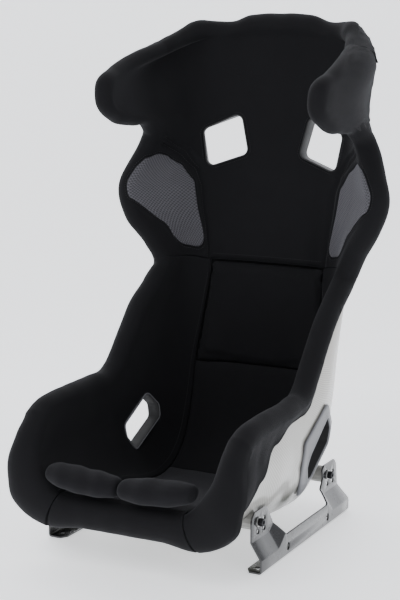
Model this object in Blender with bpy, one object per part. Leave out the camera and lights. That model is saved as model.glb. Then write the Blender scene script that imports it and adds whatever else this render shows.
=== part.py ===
"""Fixed-back racing seat on two side brackets, as separate solids.

Frame: metres, +Z up, the seat faces -Y, +X is the left-hand side of a person who
sits in it. The floor under the brackets is z = 0 and x = 0 is the symmetry plane.

The shell, the covers and the pads all follow one surface, the face that touches the
body. A point on it has two parameters: s runs along the seat from the front lip (0)
over the pan and up the back to the top of the head (LAST), and t runs from the centre
line (0) to the rim (1). A depth n is measured from that face into the seat.
"""
import math

import bmesh
import bpy
import numpy as np

# ---------------------------------------------------------------- driving dimensions
SHIFT_Y = -0.0130          # moves the whole seat so that its footprint is centred

SHELL_IN = 0.0180          # depth of the shell's inner face
SHELL_OUT = 0.0228         # depth of its outer face
PAD_BACK = 0.0166          # depth of the back of every cover and fixed pad
PAD_FREE = 0.0148          # depth of the back of the pads that lift off
TAPE_FRONT = 0.0162        # depth of the front of the hook tapes
ROLL = 0.0205              # usual radius of the padded rim
LIP_ROLL = 0.0275          # its radius along the front lip
SKIRT_IN = 0.0256          # depth of the skirt's inner face, outside the shell

BOLT_Y = (-0.163, 0.127)   # front and rear side bolts
BOLT_Z = 0.081
EAR_X = 0.186              # outer face of the bracket's ears
WEB_X = 0.204              # outer face of its web
PLATE = 0.003              # bracket sheet
BRACKET_Y = (-0.187, 0.186)
FOOT_X = 0.172             # inner edge of the foot
FOOT_HOLE_Y = (-0.166, -0.127, 0.127, 0.166)

ROLL_X = (0.0015, 0.1345)  # inner and outer end of a thigh roll
ROLL_CENTRE = (-0.288, 0.1478)
ROLL_HALF = (0.030, 0.0250)
ROLL_SAG = 0.010           # how much higher the rolls' outer ends lie
SLOT_RADIUS = 0.012

PAD_T = 0.42               # t of the border between the centre pads and the bolsters
WAIST_S = 13.0             # s of the border between upper cover and bolster covers
SEAM_S = 11.0              # s of the border between lumbar and lower back pad
HIP_S = 6.6                # s of the border between lower back pad and seat pad
LIP_S = 0.35               # s where the seat pad ends and the lip cover begins

# One row per station: centre line (y, z), end of the flat middle (x, y, z), middle of
# the side wall (x, y, z) and rim (x, y, z).
STATIONS = [
    ((-0.282, 0.119), (0.116, -0.284, 0.121), (0.156, -0.280, 0.165), (0.168, -0.238, 0.229)),
    ((-0.255, 0.122), (0.116, -0.257, 0.123), (0.158, -0.252, 0.168), (0.169, -0.220, 0.237)),
    ((-0.210, 0.113), (0.117, -0.210, 0.115), (0.160, -0.200, 0.170), (0.170, -0.188, 0.242)),
    ((-0.140, 0.098), (0.119, -0.140, 0.100), (0.163, -0.135, 0.165), (0.170, -0.130, 0.243)),
    ((-0.060, 0.078), (0.121, -0.060, 0.081), (0.166, -0.060, 0.158), (0.170, -0.065, 0.242)),
    ((0.025, 0.059), (0.122, 0.015, 0.063), (0.168, -0.002, 0.150), (0.168, -0.045, 0.242)),
    ((0.095, 0.049), (0.122, 0.078, 0.056), (0.169, 0.032, 0.150), (0.167, -0.012, 0.245)),
    ((0.150, 0.057), (0.122, 0.125, 0.068), (0.169, 0.062, 0.165), (0.166, 0.014, 0.259)),
    ((0.192, 0.085), (0.122, 0.160, 0.095), (0.168, 0.090, 0.193), (0.165, 0.036, 0.281)),
    ((0.216, 0.125), (0.123, 0.183, 0.134), (0.167, 0.113, 0.227), (0.165, 0.055, 0.303)),
    ((0.232, 0.175), (0.124, 0.200, 0.182), (0.165, 0.136, 0.262), (0.165, 0.075, 0.326)),
    ((0.245, 0.235), (0.125, 0.214, 0.240), (0.162, 0.160, 0.305), (0.165, 0.101, 0.355)),
    ((0.256, 0.330), (0.120, 0.240, 0.335), (0.156, 0.205, 0.370), (0.163, 0.152, 0.393)),
    ((0.268, 0.430), (0.115, 0.259, 0.430), (0.148, 0.238, 0.437), (0.168, 0.195, 0.440)),
    ((0.274, 0.480), (0.119, 0.264, 0.480), (0.159, 0.237, 0.480), (0.189, 0.187, 0.482)),
    ((0.279, 0.525), (0.125, 0.266, 0.525), (0.178, 0.221, 0.527), (0.222, 0.167, 0.530)),
    ((0.284, 0.570), (0.131, 0.268, 0.570), (0.188, 0.219, 0.570), (0.235, 0.169, 0.568)),
    ((0.288, 0.605), (0.138, 0.271, 0.603), (0.187, 0.227, 0.603), (0.223, 0.182, 0.602)),
    ((0.292, 0.640), (0.144, 0.274, 0.635), (0.181, 0.241, 0.635), (0.207, 0.200, 0.635)),
    ((0.296, 0.675), (0.148, 0.276, 0.662), (0.179, 0.241, 0.660), (0.196, 0.203, 0.662)),
    ((0.299, 0.700), (0.150, 0.276, 0.685), (0.181, 0.234, 0.684), (0.190, 0.177, 0.688)),
    ((0.302, 0.722), (0.152, 0.276, 0.703), (0.184, 0.209, 0.702), (0.188, 0.115, 0.704)),
    ((0.305, 0.745), (0.154, 0.276, 0.720), (0.188, 0.186, 0.720), (0.187, 0.055, 0.718)),
    ((0.308, 0.768), (0.155, 0.276, 0.743), (0.190, 0.177, 0.741), (0.186, 0.020, 0.742)),
    ((0.310, 0.790), (0.156, 0.276, 0.768), (0.193, 0.181, 0.762), (0.187, 0.022, 0.766)),
    ((0.311, 0.812), (0.157, 0.277, 0.792), (0.197, 0.191, 0.785), (0.190, 0.060, 0.780)),
    ((0.310, 0.833), (0.155, 0.279, 0.815), (0.197, 0.211, 0.803), (0.192, 0.110, 0.793)),
    ((0.307, 0.849), (0.145, 0.282, 0.836), (0.187, 0.238, 0.818), (0.191, 0.160, 0.803)),
    ((0.302, 0.859), (0.114, 0.293, 0.853), (0.158, 0.264, 0.835), (0.184, 0.204, 0.814)),
]
LAST = len(STATIONS) - 1
COLUMN_T = (0.0, 0.25, PAD_T, 0.70, 1.0)   # t of the columns of control points

# Openings, as corner points: shoulder slots (x, z), lap slot (y, z), crotch slot (x, y).
SHOULDER_SLOT = ((0.053, 0.631), (0.130, 0.604), (0.142, 0.673), (0.071, 0.705))
LAP_SLOT = ((0.041, 0.103), (0.127, 0.146), (0.128, 0.169), (0.100, 0.197),
            (0.021, 0.153), (0.019, 0.133))
LAP_BEZEL = ((0.032, 0.078), (0.146, 0.137), (0.146, 0.175), (0.099, 0.221),
             (-0.007, 0.173), (-0.010, 0.139))
CROTCH_SLOT = ((-0.034, -0.232), (0.034, -0.232), (0.034, -0.206), (-0.034, -0.206))
MESH_INSERT = ((0.50, 13.35), (0.79, 13.48), (0.85, 14.10), (0.93, 15.00), (0.995, 15.80),
               (0.995, 17.30), (0.94, 17.90), (0.80, 17.75), (0.60, 17.15), (0.50, 16.20))


# ---------------------------------------------------------------- the seat's surface
def blend(x, points):
    """Smooth step-wise interpolation through (x, value) pairs."""
    if x <= points[0][0]:
        return points[0][1]
    for (x0, v0), (x1, v1) in zip(points, points[1:]):
        if x <= x1:
            u = (x - x0) / (x1 - x0)
            return v0 + (v1 - v0) * u * u * (3 - 2 * u)
    return points[-1][1]


def hermite(p0, p1, m0, m1, u):
    """Cubic between p0 and p1 with end tangents m0 and m1."""
    a = 2 * u**3 - 3 * u**2 + 1
    b = u**3 - 2 * u**2 + u
    c = 3 * u**2 - 2 * u**3
    d = u**3 - u**2
    return a * p0 + b * m0 + c * p1 + d * m1


def slopes(points):
    """Unit-speed tangents at the points of a polyline, and its chord lengths."""
    chords = [np.linalg.norm(q - p) for p, q in zip(points, points[1:])]
    steps = [(q - p) / c for p, q, c in zip(points, points[1:], chords)]
    tangents = [steps[0]]
    for i in range(1, len(points) - 1):
        weight = chords[i] / (chords[i - 1] + chords[i])
        tangents.append(steps[i - 1] * weight + steps[i] * (1 - weight))
    tangents.append(steps[-1])
    return tangents, chords


def column(points):
    """Curve through points, as a function of a real index."""
    points = [np.array(p, float) for p in points]
    tangents, chords = slopes(points)

    def at(u):
        i = min(max(int(math.floor(u)), 0), len(points) - 2)
        m0 = tangents[i] * chords[i]
        m1 = tangents[i + 1] * chords[i]
        return hermite(points[i], points[i + 1], m0, m1, u - i)
    return at


CENTRE = column([(0, p[0], p[1]) for p, c, w, r in STATIONS])
CORNER = column([c for p, c, w, r in STATIONS])
WALL = column([w for p, c, w, r in STATIONS])
RIM = column([r for p, c, w, r in STATIONS])


def seat_point(s, t):
    """Point of the seat's face; a negative t is the mirrored side."""
    centre, corner, wall, rim = CENTRE(s), CORNER(s), WALL(s), RIM(s)
    flat = centre + (corner - centre) * np.array((0.6, 0.25, 0.25))
    mirror = flat * np.array((-1, 1, 1))
    row = column([mirror, centre, flat, corner, wall, rim])
    a = abs(t)
    k = max(i for i in range(len(COLUMN_T) - 1) if COLUMN_T[i] <= a or i == 0)
    p = row(1 + k + (a - COLUMN_T[k]) / (COLUMN_T[k + 1] - COLUMN_T[k]))
    return np.array((math.copysign(p[0], t) if t else 0.0, p[1] + SHIFT_Y, p[2]))


def seat_normal(s, t):
    """Unit normal that points into the seat, away from the body."""
    edge = blend(abs(t), [(0.75, 0.0), (1.0, 0.5)])
    s = min(max(s, 0.06 + edge), LAST - 0.06 - edge)
    limit = 0.985 - blend(s, [(LAST - 1.2, 0.0), (LAST - 0.5, 0.06)])
    t = min(max(t, -limit), limit)
    ds = seat_point(s + 0.05, t) - seat_point(s - 0.05, t)
    dt = seat_point(s, t + 0.01) - seat_point(s, t - 0.01)
    n = np.cross(ds, dt)
    return n / np.linalg.norm(n)


def bulk(s, t):
    """Extra foam between the face and the shell: a thick seat pad and square hips."""
    a = abs(t)
    middle = blend(s, [(0.0, 0.0), (1.2, 0.024), (2.0, 0.027), (3.0, 0.021), (4.0, 0.013),
                       (5.0, 0.005), (6.0, 0.0)])
    side = blend(s, [(0.0, 0.0), (1.2, 0.022), (2.0, 0.025), (3.2, 0.020), (4.5, 0.009),
                     (5.6, 0.002), (7.0, 0.0)])
    share = blend(a, [(0.30, 0.0), (0.52, 1.0)])
    return (middle + (side - middle) * share) * blend(a, [(0.60, 1.0), (0.92, 0.0)])


def deep(s, t, n):
    """Point at depth n; behind the face itself the depth grows by the bulk of foam."""
    extra = bulk(s, t) if n > 0.012 else 0.0
    return seat_point(s, t) + seat_normal(s, t) * (n + extra)


def locate(target, axes, s, t):
    """(s, t) where the face's coordinates on two axes equal target, from a near guess."""
    for _ in range(12):
        p = seat_point(s, t)[axes]
        jacobian = np.column_stack(((seat_point(s + 0.01, t)[axes] - p) / 0.01,
                                    (seat_point(s, t + 0.002)[axes] - p) / 0.002))
        ds, dt = np.linalg.solve(jacobian, np.array(target) - p)
        s += max(-1.0, min(1.0, ds))
        t += max(-0.1, min(0.1, dt))
    return s, t


def samples(a, b, step):
    """Evenly spaced values from a to b, about one step apart."""
    return list(np.linspace(a, b, max(2, int(round((b - a) / step)) + 1)))


# ---------------------------------------------------------------- mesh helpers
def material(name, colour, roughness, metallic=0.0):
    mat = bpy.data.materials.new(name)
    mat.use_nodes = True
    shader = mat.node_tree.nodes["Principled BSDF"]
    shader.inputs["Base Color"].default_value = (*colour, 1)
    shader.inputs["Roughness"].default_value = roughness
    shader.inputs["Metallic"].default_value = metallic
    mat.diffuse_color = (*colour, 1)
    return mat


VELOUR = ("velour", (0.016, 0.016, 0.02), 0.95, 0.0)
SPACER = ("spacer_mesh", (0.07, 0.07, 0.08), 0.85, 0.0)
RIBBED = ("ribbed_fabric", (0.012, 0.012, 0.015), 0.9, 0.0)
GELCOAT = ("shell_gelcoat", (0.42, 0.42, 0.40), 0.3, 0.3)
BEZEL = ("bezel_grey", (0.22, 0.22, 0.23), 0.45, 0.2)
BLACK_STEEL = ("bracket_black", (0.02, 0.02, 0.022), 0.25, 0.6)
ZINC = ("bolt_black", (0.05, 0.05, 0.05), 0.35, 0.9)
STEEL = ("plain_steel", (0.5, 0.5, 0.5), 0.35, 1.0)
HOOK = ("hook_tape", (0.01, 0.01, 0.01), 0.95, 0.0)


def finish_object(name, bm, look, smooth=50):
    """Closed mesh from bm, faces out, with its own material."""
    bmesh.ops.remove_doubles(bm, verts=bm.verts, dist=0.00001)
    bmesh.ops.dissolve_degenerate(bm, edges=bm.edges, dist=0.00001)
    bmesh.ops.triangulate(bm, faces=[f for f in bm.faces if len(f.verts) > 3])
    bmesh.ops.recalc_face_normals(bm, faces=bm.faces)
    if bm.calc_volume(signed=True) < 0:
        bmesh.ops.reverse_faces(bm, faces=bm.faces)
    mesh = bpy.data.meshes.new(name)
    bm.to_mesh(mesh)
    bm.free()
    mesh.shade_smooth()
    mesh.set_sharp_from_angle(angle=math.radians(smooth))
    obj = bpy.data.objects.new(name, mesh)
    obj.data.materials.append(material(name + "_" + look[0], look[1], look[2], look[3]))
    bpy.context.scene.collection.objects.link(obj)
    return obj


def ring_solid(name, rings, look, closed=False, smooth=50):
    """Loft a list of equal closed rings; the ends are capped unless closed."""
    bm = bmesh.new()
    loops = [[bm.verts.new(p) for p in ring] for ring in rings]
    pairs = list(zip(loops, loops[1:]))
    if closed:
        pairs.append((loops[-1], loops[0]))
    for a, b in pairs:
        for i in range(len(a)):
            j = (i + 1) % len(a)
            bm.faces.new((a[i], a[j], b[j], b[i]))
    if not closed:
        bm.faces.new(list(reversed(loops[0])))
        bm.faces.new(loops[-1])
    return finish_object(name, bm, look, smooth)


def rounded(corners, radius, steps=4, grow=0.0):
    """Closed outline through corners, with an arc at each; grow pushes it outward.

    radius is one number or one for each corner.
    """
    radii = list(radius) if hasattr(radius, "__len__") else [radius] * len(corners)
    pts = [np.array(c, float) for c in corners]
    area = sum(a[0] * b[1] - b[0] * a[1] for a, b in zip(pts, pts[1:] + pts[:1]))
    if area < 0:
        pts.reverse()
        radii.reverse()
    out = []
    for i, p in enumerate(pts):
        before = pts[i - 1] - p
        after = pts[(i + 1) % len(pts)] - p
        before /= np.linalg.norm(before)
        after /= np.linalg.norm(after)
        turn = before[0] * after[1] - before[1] * after[0]
        convex = -1 if turn > 0 else 1
        half = math.acos(max(-1, min(1, before.dot(after)))) / 2
        middle = (before + after) / np.linalg.norm(before + after)
        centre = p + middle * radii[i] / math.sin(half)
        base = math.atan2(-middle[1], -middle[0])
        reach = max(radii[i] + convex * grow, 0.0)
        sweep = (math.pi / 2 - half) * convex
        for k in range(steps + 1):
            angle = base + sweep * (2 * k / steps - 1)
            out.append(centre + reach * np.array((math.cos(angle), math.sin(angle))))
    return out


def cut(obj, cutter, operation='DIFFERENCE'):
    """Combine obj with a cutter that stays in the scene as a hidden guide."""
    cutter.hide_render = True
    cutter.display_type = 'WIRE'
    mod = obj.modifiers.new("cut_" + cutter.name, 'BOOLEAN')
    mod.operation = operation
    mod.solver = 'EXACT'
    mod.object = cutter


# ---------------------------------------------------------------- patches of the seat
def roll_frame(path, k):
    """Perimeter point k, the direction away from the face and the one into the seat.

    The path runs anticlockwise round the face, as a person in the seat sees it.
    """
    s, t = path[k]
    before = path[k - 1] if k else tuple(2 * np.array(path[0]) - path[1])
    after = path[k + 1] if k + 1 < len(path) else tuple(2 * np.array(path[-1]) - path[-2])
    along = seat_point(*after) - seat_point(*before)
    along /= np.linalg.norm(along)
    normal = seat_normal(s, t)
    out = np.cross(normal, along)
    out /= np.linalg.norm(out)
    return seat_point(s, t), out, normal


def skirt_reach(s):
    """How far, as a share of t, the rim's fabric runs down the outside."""
    return blend(s, [(0.0, 0.50), (1.0, 0.46), (2.0, 0.27), (3.0, 0.14), (4.0, 0.06),
                     (12.0, 0.06), (14.0, 0.12), (18.0, 0.14), (20.5, 0.42),
                     (27.0, 0.42), (LAST, 0.30)])


def shrink(s, t, share):
    """Parameter point a share of the way in from the perimeter."""
    a = abs(t)
    reach = skirt_reach(s) * share * blend(a, [(0.30, 0.0), (0.80, 1.0)])
    lead = 1.6
    inner_s = s
    if s > LAST - lead:
        inner_s = s - (s - (LAST - lead)) * share
    if s < lead:
        inner_s = s + (lead - s) * share * 0.6
    return inner_s, math.copysign(a * (1 - reach), t)


def roll_radius(s, t):
    """Half thickness of the padded rim, fullest at the front corners and the head."""
    a = abs(t)
    if s < 0.001:
        return blend(a, [(0.34, LIP_ROLL), (0.50, 0.039), (0.60, 0.041), (0.72, 0.033),
                         (0.84, 0.0245), (1.0, 0.0215)])
    if s > LAST - 0.001:
        return blend(a, [(0.45, 0.0215), (0.85, 0.0150), (1.0, 0.0135)])
    return blend(s, [(0.0, 0.0215), (2.0, ROLL), (18.0, ROLL), (21.0, 0.0175),
                     (25.0, 0.0175), (27.0, 0.0140), (LAST, 0.0135)])


SHARES = (0.0, 0.25, 0.5, 0.75, 1.0)      # steps down the skirt, rim to hem


def head_room(s):
    """Extra play between shell and cover, where the head's wings fold sharply."""
    return blend(s, [(18.6, 0.0), (19.5, 0.0030)])


def rim_profile(path, k):
    """Points over the padded rim, from the face round to the pad's back."""
    s, t = path[k]
    here, out, normal = roll_frame(path, k)
    radius = roll_radius(s, t)
    reach = min(radius, 0.024)
    points = []
    for angle in (35, 75, 110, 148):
        a = math.radians(angle)
        points.append(here + out * reach * math.sin(a) + normal * radius * (1 - math.cos(a)))
    for share in SHARES:
        hem = SKIRT_IN + 0.005 + 1.3 * head_room(s)
        depth = hem + (2 * radius - hem) * (1 - share) ** 0.8
        points.append(deep(*shrink(s, t, share), depth))
    for share in reversed(SHARES):
        inner_s, inner_t = shrink(s, t, share)
        slack = blend(inner_s, [(0.8, 0.0022), (2.2, 0.0)]) + head_room(s)
        points.append(deep(inner_s, inner_t, SKIRT_IN + slack))
    clear = here + out * (0.0012 + head_room(s))
    points.append(clear + normal * (SKIRT_IN + head_room(s)))
    points.append(clear + normal * (PAD_BACK - head_room(s)))
    return points


SIDE_T = [PAD_T, 0.50, 0.60, 0.70, 0.80, 0.90, 1.0]
HALF_T = [0.0, 0.14, 0.28] + SIDE_T
FULL_T = [-t for t in reversed(HALF_T[1:])] + HALF_T
MIDDLE_T = [-PAD_T, -0.28, -0.14, 0.0, 0.14, 0.28, PAD_T]
T_GAP = 0.0036             # half of a seam between two pads, as a share of t
S_GAP = 0.008              # the same, along s
ROW_STEP = 0.62            # spacing of the rows of vertices, along s
FOLD_STEP = 0.34           # the same, at the fold between neck and head wings
FOLD_S = 19.4              # where this fold begins
BORDERS = [0.0, LIP_S, HIP_S, SEAM_S, WAIST_S, FOLD_S, 22.1, LAST]


def rows_between(low, high, low_gap=0.0, high_gap=0.0):
    """Rows of vertices that every sheet shares, from one border to another."""
    rows = []
    for a, b in zip(BORDERS, BORDERS[1:]):
        if a >= low and b <= high:
            step = FOLD_STEP if a == FOLD_S else ROW_STEP
            rows += samples(a, b, step)[1 if rows else 0:]
    rows[0] += low_gap
    rows[-1] -= high_gap
    return rows


def inner_columns(gap=T_GAP):
    return [-PAD_T + gap] + MIDDLE_T[1:-1] + [PAD_T - gap]


def grid_faces(bm, face, rear):
    """Quads over both sides of a sheet of vertices."""
    for i in range(len(face) - 1):
        for j in range(len(face[0]) - 1):
            bm.faces.new((face[i][j], face[i + 1][j], face[i + 1][j + 1], face[i][j + 1]))
            bm.faces.new((rear[i][j], rear[i][j + 1], rear[i + 1][j + 1], rear[i + 1][j]))


def border(rows, cols):
    """Index pairs round the edge of a grid, by side, in one direction."""
    return {
        'bottom': [(0, j) for j in range(cols)],
        'right': [(i, cols - 1) for i in range(rows)],
        'top': [(rows - 1, j) for j in reversed(range(cols))],
        'left': [(i, 0) for i in reversed(range(rows))],
    }


def patch(name, s_list, t_list, look, front=None, back=PAD_BACK, rims=(), tuck=None,
          width=None):
    """Closed pad over a rectangle of (s, t), drawn in to a share width(s) of it.

    front(s, t) is the depth of its face; rims names the neighbouring sides that get the
    padded roll, in walking order; tuck(s, t) moves the parameters of the back, so that
    a pad that lifts out is narrower behind.
    """
    bm = bmesh.new()
    front = front or (lambda s, t: 0.0)
    tuck = tuck or (lambda s, t: (s, t))
    width = width or (lambda s: 1.0)
    face = [[bm.verts.new(deep(s, t * width(s), front(s, t))) for t in t_list]
            for s in s_list]
    if back < SHELL_IN:
        behind = [back - head_room(s) for s in s_list]
    else:
        behind = [back] * len(s_list)
    rear = [[bm.verts.new(deep(*tuck(s, t * width(s)), depth)) for t in t_list]
            for s, depth in zip(s_list, behind)]
    grid_faces(bm, face, rear)
    sides = border(len(s_list), len(t_list))
    for side, walk in sides.items():
        if side in rims:
            continue
        for (i, j), (k, m) in zip(walk, walk[1:]):
            bm.faces.new((face[i][j], face[k][m], rear[k][m], rear[i][j]))
    if rims:
        add_roll(bm, face, rear, [sides[side] for side in rims], s_list, t_list)
    return finish_object(name, bm, look, 60)


def add_roll(bm, face, rear, walks, s_list, t_list):
    """Padded rim along the given sides, from the face round to the pad's back."""
    walk = walks[0] + [pair for more in walks[1:] for pair in more[1:]]
    path = [(s_list[i], t_list[j]) for i, j in walk]
    strips = []
    for k, (i, j) in enumerate(walk):
        strip = [bm.verts.new(p) for p in rim_profile(path, k)]
        strips.append([face[i][j]] + strip + [rear[i][j]])
    for a, b in zip(strips, strips[1:]):
        for p in range(len(a) - 1):
            bm.faces.new((a[p], a[p + 1], b[p + 1], b[p]))
    bm.faces.new(list(reversed(strips[0])))
    bm.faces.new(strips[-1])


# ---------------------------------------------------------------- shell and soft parts
def shell_width(s):
    """Share of the half width that the shell covers: it is notched under the wings' fold."""
    return blend(s, [(18.8, 1.0), (19.9, 0.76), (21.9, 0.76), (23.2, 1.0)])


def make_shell():
    """Glass-fibre shell: one open sheet 4.8 mm thick."""
    return patch("shell", rows_between(0.0, LAST), FULL_T, GELCOAT,
                 lambda s, t: SHELL_IN, SHELL_OUT, width=shell_width)


def upper_face(s, t):
    """The upper cover bulges over the lumbar pad in the middle of the back."""
    swell = blend(s, [(WAIST_S, 0.010), (WAIST_S + 2.5, 0.003), (WAIST_S + 4, 0.0)])
    return -swell * blend(abs(t), [(0.0, 1.0), (0.28, 1.0), (PAD_T, 0.0)])


def make_covers():
    """Upper cover over back and head, two bolster covers and the front lip cover."""
    upper = patch("upper_cover", rows_between(WAIST_S, LAST, S_GAP), FULL_T, VELOUR,
                  upper_face, rims=('right', 'top', 'left'))
    s_list = rows_between(0.0, WAIST_S, 0.0, S_GAP)
    left_t = [PAD_T + T_GAP] + SIDE_T[1:]
    right_t = [-t for t in reversed(left_t)]
    bolsters = [
        patch("bolster_cover_left", s_list, left_t, VELOUR, rims=('bottom', 'right')),
        patch("bolster_cover_right", s_list, right_t, VELOUR, rims=('left', 'bottom')),
    ]
    lip = patch("front_lip_cover", rows_between(0.0, LIP_S), inner_columns(0.010), VELOUR,
                rims=('bottom',))
    return upper, bolsters, lip


def pillow(s_low, s_high, height):
    """Depth of a pad's face that swells from its seams to its middle."""
    def face(s, t):
        edge = min((s - s_low) / 0.9, (s_high - s) / 0.9, 1.0)
        side = min((PAD_T - abs(t)) / 0.12, 1.0)
        return -height * math.sqrt(max(edge, 0.0) * max(side, 0.0))
    return face


def make_pads():
    """Centre pads. The lumbar pad and the seat pad lift off their hook tapes."""
    inner_t = inner_columns()

    def draw_in(s_mid, s_share, t_share):
        return lambda s, t: (s_mid + (s - s_mid) * s_share, t * t_share)

    lumbar = patch("lumbar_pad", rows_between(SEAM_S, WAIST_S, S_GAP, 2 * S_GAP), inner_t,
                   VELOUR, pillow(SEAM_S, WAIST_S, 0.005), PAD_FREE,
                   tuck=draw_in((SEAM_S + WAIST_S) / 2, 0.97, 0.86))
    lower = patch("lower_back_pad", rows_between(HIP_S, SEAM_S, S_GAP, S_GAP), inner_t,
                  VELOUR, pillow(HIP_S, SEAM_S, 0.003))
    seat = patch("seat_pad", rows_between(LIP_S, HIP_S, 2 * S_GAP, 3 * S_GAP), inner_t,
                 RIBBED, None, PAD_FREE, tuck=draw_in(2.2, 0.86, 0.70))
    return lumbar, lower, seat


def make_tapes():
    """Hook tapes glued to the shell, behind the two pads that lift off."""
    lumbar_rows = rows_between(SEAM_S, WAIST_S)
    seat_rows = rows_between(LIP_S, HIP_S)
    places = {"lumbar_hook_tape": lumbar_rows[1:3], "seat_hook_tape_front": seat_rows[3:5],
              "seat_hook_tape_rear": seat_rows[7:9]}
    return [patch(name, rows, MIDDLE_T[1:-1], HOOK, lambda s, t: TAPE_FRONT)
            for name, rows in places.items()]


def make_rolls():
    """Two firm rolls under the thighs, on the front edge of the seat pad."""
    for side, sign in (("left", 1), ("right", -1)):
        rings = []
        stations = 12
        for i in range(stations + 1):
            u = i / stations
            x = ROLL_X[0] + (ROLL_X[1] - ROLL_X[0]) * (1 - math.cos(math.pi * u)) / 2
            size = max(math.sin(math.pi * u) ** 0.35, 0.18)
            rise = ROLL_SAG * (x / ROLL_X[1]) ** 2
            ring = []
            for k in range(16):
                a = 2 * math.pi * k / 16
                y = ROLL_CENTRE[0] + SHIFT_Y + ROLL_HALF[0] * size * math.cos(a)
                z = ROLL_CENTRE[1] + rise + ROLL_HALF[1] * size * math.sin(a)
                ring.append((sign * x, y, z))
            rings.append(ring)
        ring_solid("thigh_roll_" + side, rings, VELOUR, smooth=70)


def insert_rings(sign, grow, levels):
    """Rings of a shoulder insert: (share of the way out, depth) pairs."""
    outline = rounded([(t * 4, s) for t, s in MESH_INSERT], 0.3, 1, grow)
    middle = np.mean(outline, axis=0)
    rings = []
    for share, depth in levels:
        points = [middle + (p - middle) * share for p in outline]
        rings.append([deep(s, sign * t4 / 4, depth) for t4, s in points])
    return rings


def make_mesh_inserts(upper):
    """Spacer-mesh panels let into the face of the upper cover at the shoulders."""
    shares = (0.03, 0.35, 0.70, 0.94)
    for side, sign in (("left", 1), ("right", -1)):
        front = [(share, -0.0022) for share in shares] + [(1.0, -0.0008)]
        rear = [(1.0, 0.0035)] + [(share, 0.0035) for share in reversed(shares)]
        ring_solid("shoulder_mesh_" + side, insert_rings(sign, 0.0, front + rear), SPACER)
        floor = [(1.0, 0.0045)] + [(share, 0.0045) for share in reversed(shares)]
        rings = insert_rings(sign, 0.04, [(0.94, -0.03), (1.0, -0.03)] + floor)
        recess = ring_solid("recess_" + side, rings, SPACER)
        cut(upper, recess)


# ---------------------------------------------------------------- strap openings
def slot_ring(outline, grow):
    """Rounded outline of an opening, with a point in the middle of every straight side."""
    arcs = rounded(outline, SLOT_RADIUS, 2, grow)
    points = []
    for k, p in enumerate(arcs):
        points.append(p)
        if k % 3 == 2:
            points.append((p + arcs[(k + 1) % len(arcs)]) / 2)
    return points


def through(outline, axes, guess, depths, sign):
    """Rings along the seat's normal, one for each (growth, depth)."""
    move = np.array([SHIFT_Y if axis == 1 else 0.0 for axis in axes])
    rings = []
    for grow, depth in depths:
        s, t = guess
        ring = []
        for p in slot_ring(outline, grow):
            s, t = locate(p + move, axes, s, t)
            ring.append(deep(s, sign * t, depth))
        rings.append(ring)
    return rings


def make_shoulder_slots(shell, upper):
    """Two openings for the shoulder straps, each lined with a bound edge."""
    axes, guess = [0, 2], (18.0, 0.2)
    lining = ((0.0, -0.0012), (0.0025, -0.0012), (0.0025, 0.0242), (0.0, 0.0242))
    drill = ((0.0030, -0.03), (0.0030, -0.0012), (0.0030, 0.0242), (0.0030, 0.06))
    for side, sign in (("left", 1), ("right", -1)):
        rings = through(SHOULDER_SLOT, axes, guess, drill, sign)
        hole = ring_solid("shoulder_hole_" + side, rings, HOOK)
        cut(shell, hole)
        cut(upper, hole)
        rings = through(SHOULDER_SLOT, axes, guess, lining, sign)
        ring_solid("shoulder_slot_trim_" + side, rings, HOOK, closed=True)


def make_lap_slots(shell, bolsters):
    """Openings for the lap straps with a grey bezel on the outside of the shell."""
    axes, guess = [1, 2], (7.0, 0.7)
    middle = (np.array(LAP_SLOT) + np.array(LAP_BEZEL)) / 2
    for side, sign, cover in (("left", 1, bolsters[0]), ("right", -1, bolsters[1])):
        seat = SHELL_OUT + 0.0026
        drill = ((0.0030, -0.03), (0.0030, -0.0008), (0.0030, seat), (0.0030, 0.05))
        rings = through(LAP_SLOT, axes, guess, drill, sign)
        hole = ring_solid("lap_hole_" + side, rings, BEZEL)
        cut(shell, hole)
        cut(cover, hole)
        sleeve = ((0.0, -0.0008), (0.0025, -0.0008), (0.0025, seat))
        rings = through(LAP_SLOT, axes, guess, sleeve, sign)
        rings += through(middle, axes, guess, ((0.0, seat),), sign)
        rings += through(LAP_BEZEL, axes, guess, ((0.0, seat), (-0.001, seat + 0.0026)), sign)
        rings += through(middle, axes, guess, ((0.0, seat + 0.0030),), sign)
        lip = ((0.002, seat + 0.0034), (0.0, seat + 0.0024))
        rings += through(LAP_SLOT, axes, guess, lip, sign)
        ring_solid("lap_slot_bezel_" + side, rings, BEZEL, closed=True)


def make_crotch_slot(shell, seat_pad):
    """Opening for the crotch straps, behind the thigh rolls."""
    axes, guess = [0, 1], (2.0, 0.0)
    drill = ((0.0030, -0.03), (0.0030, 0.0), (0.0030, 0.017), (0.0030, 0.0242), (0.0030, 0.09))
    hole = ring_solid("crotch_hole", through(CROTCH_SLOT, axes, guess, drill, 1), HOOK)
    cut(shell, hole)
    cut(seat_pad, hole)
    lining = ((0.0, 0.017), (0.0025, 0.017), (0.0025, 0.0242), (0.0, 0.0242))
    rings = through(CROTCH_SLOT, axes, guess, lining, 1)
    ring_solid("crotch_slot_trim", rings, HOOK, closed=True)


# ---------------------------------------------------------------- brackets and fixings
def joggle(y):
    """Heights between which the bracket leans inward, at y."""
    start = blend(y, [(-0.124, 0.0235), (-0.088, 0.043), (0.083, 0.043), (0.113, 0.0225)])
    return start, start + 0.028


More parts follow.
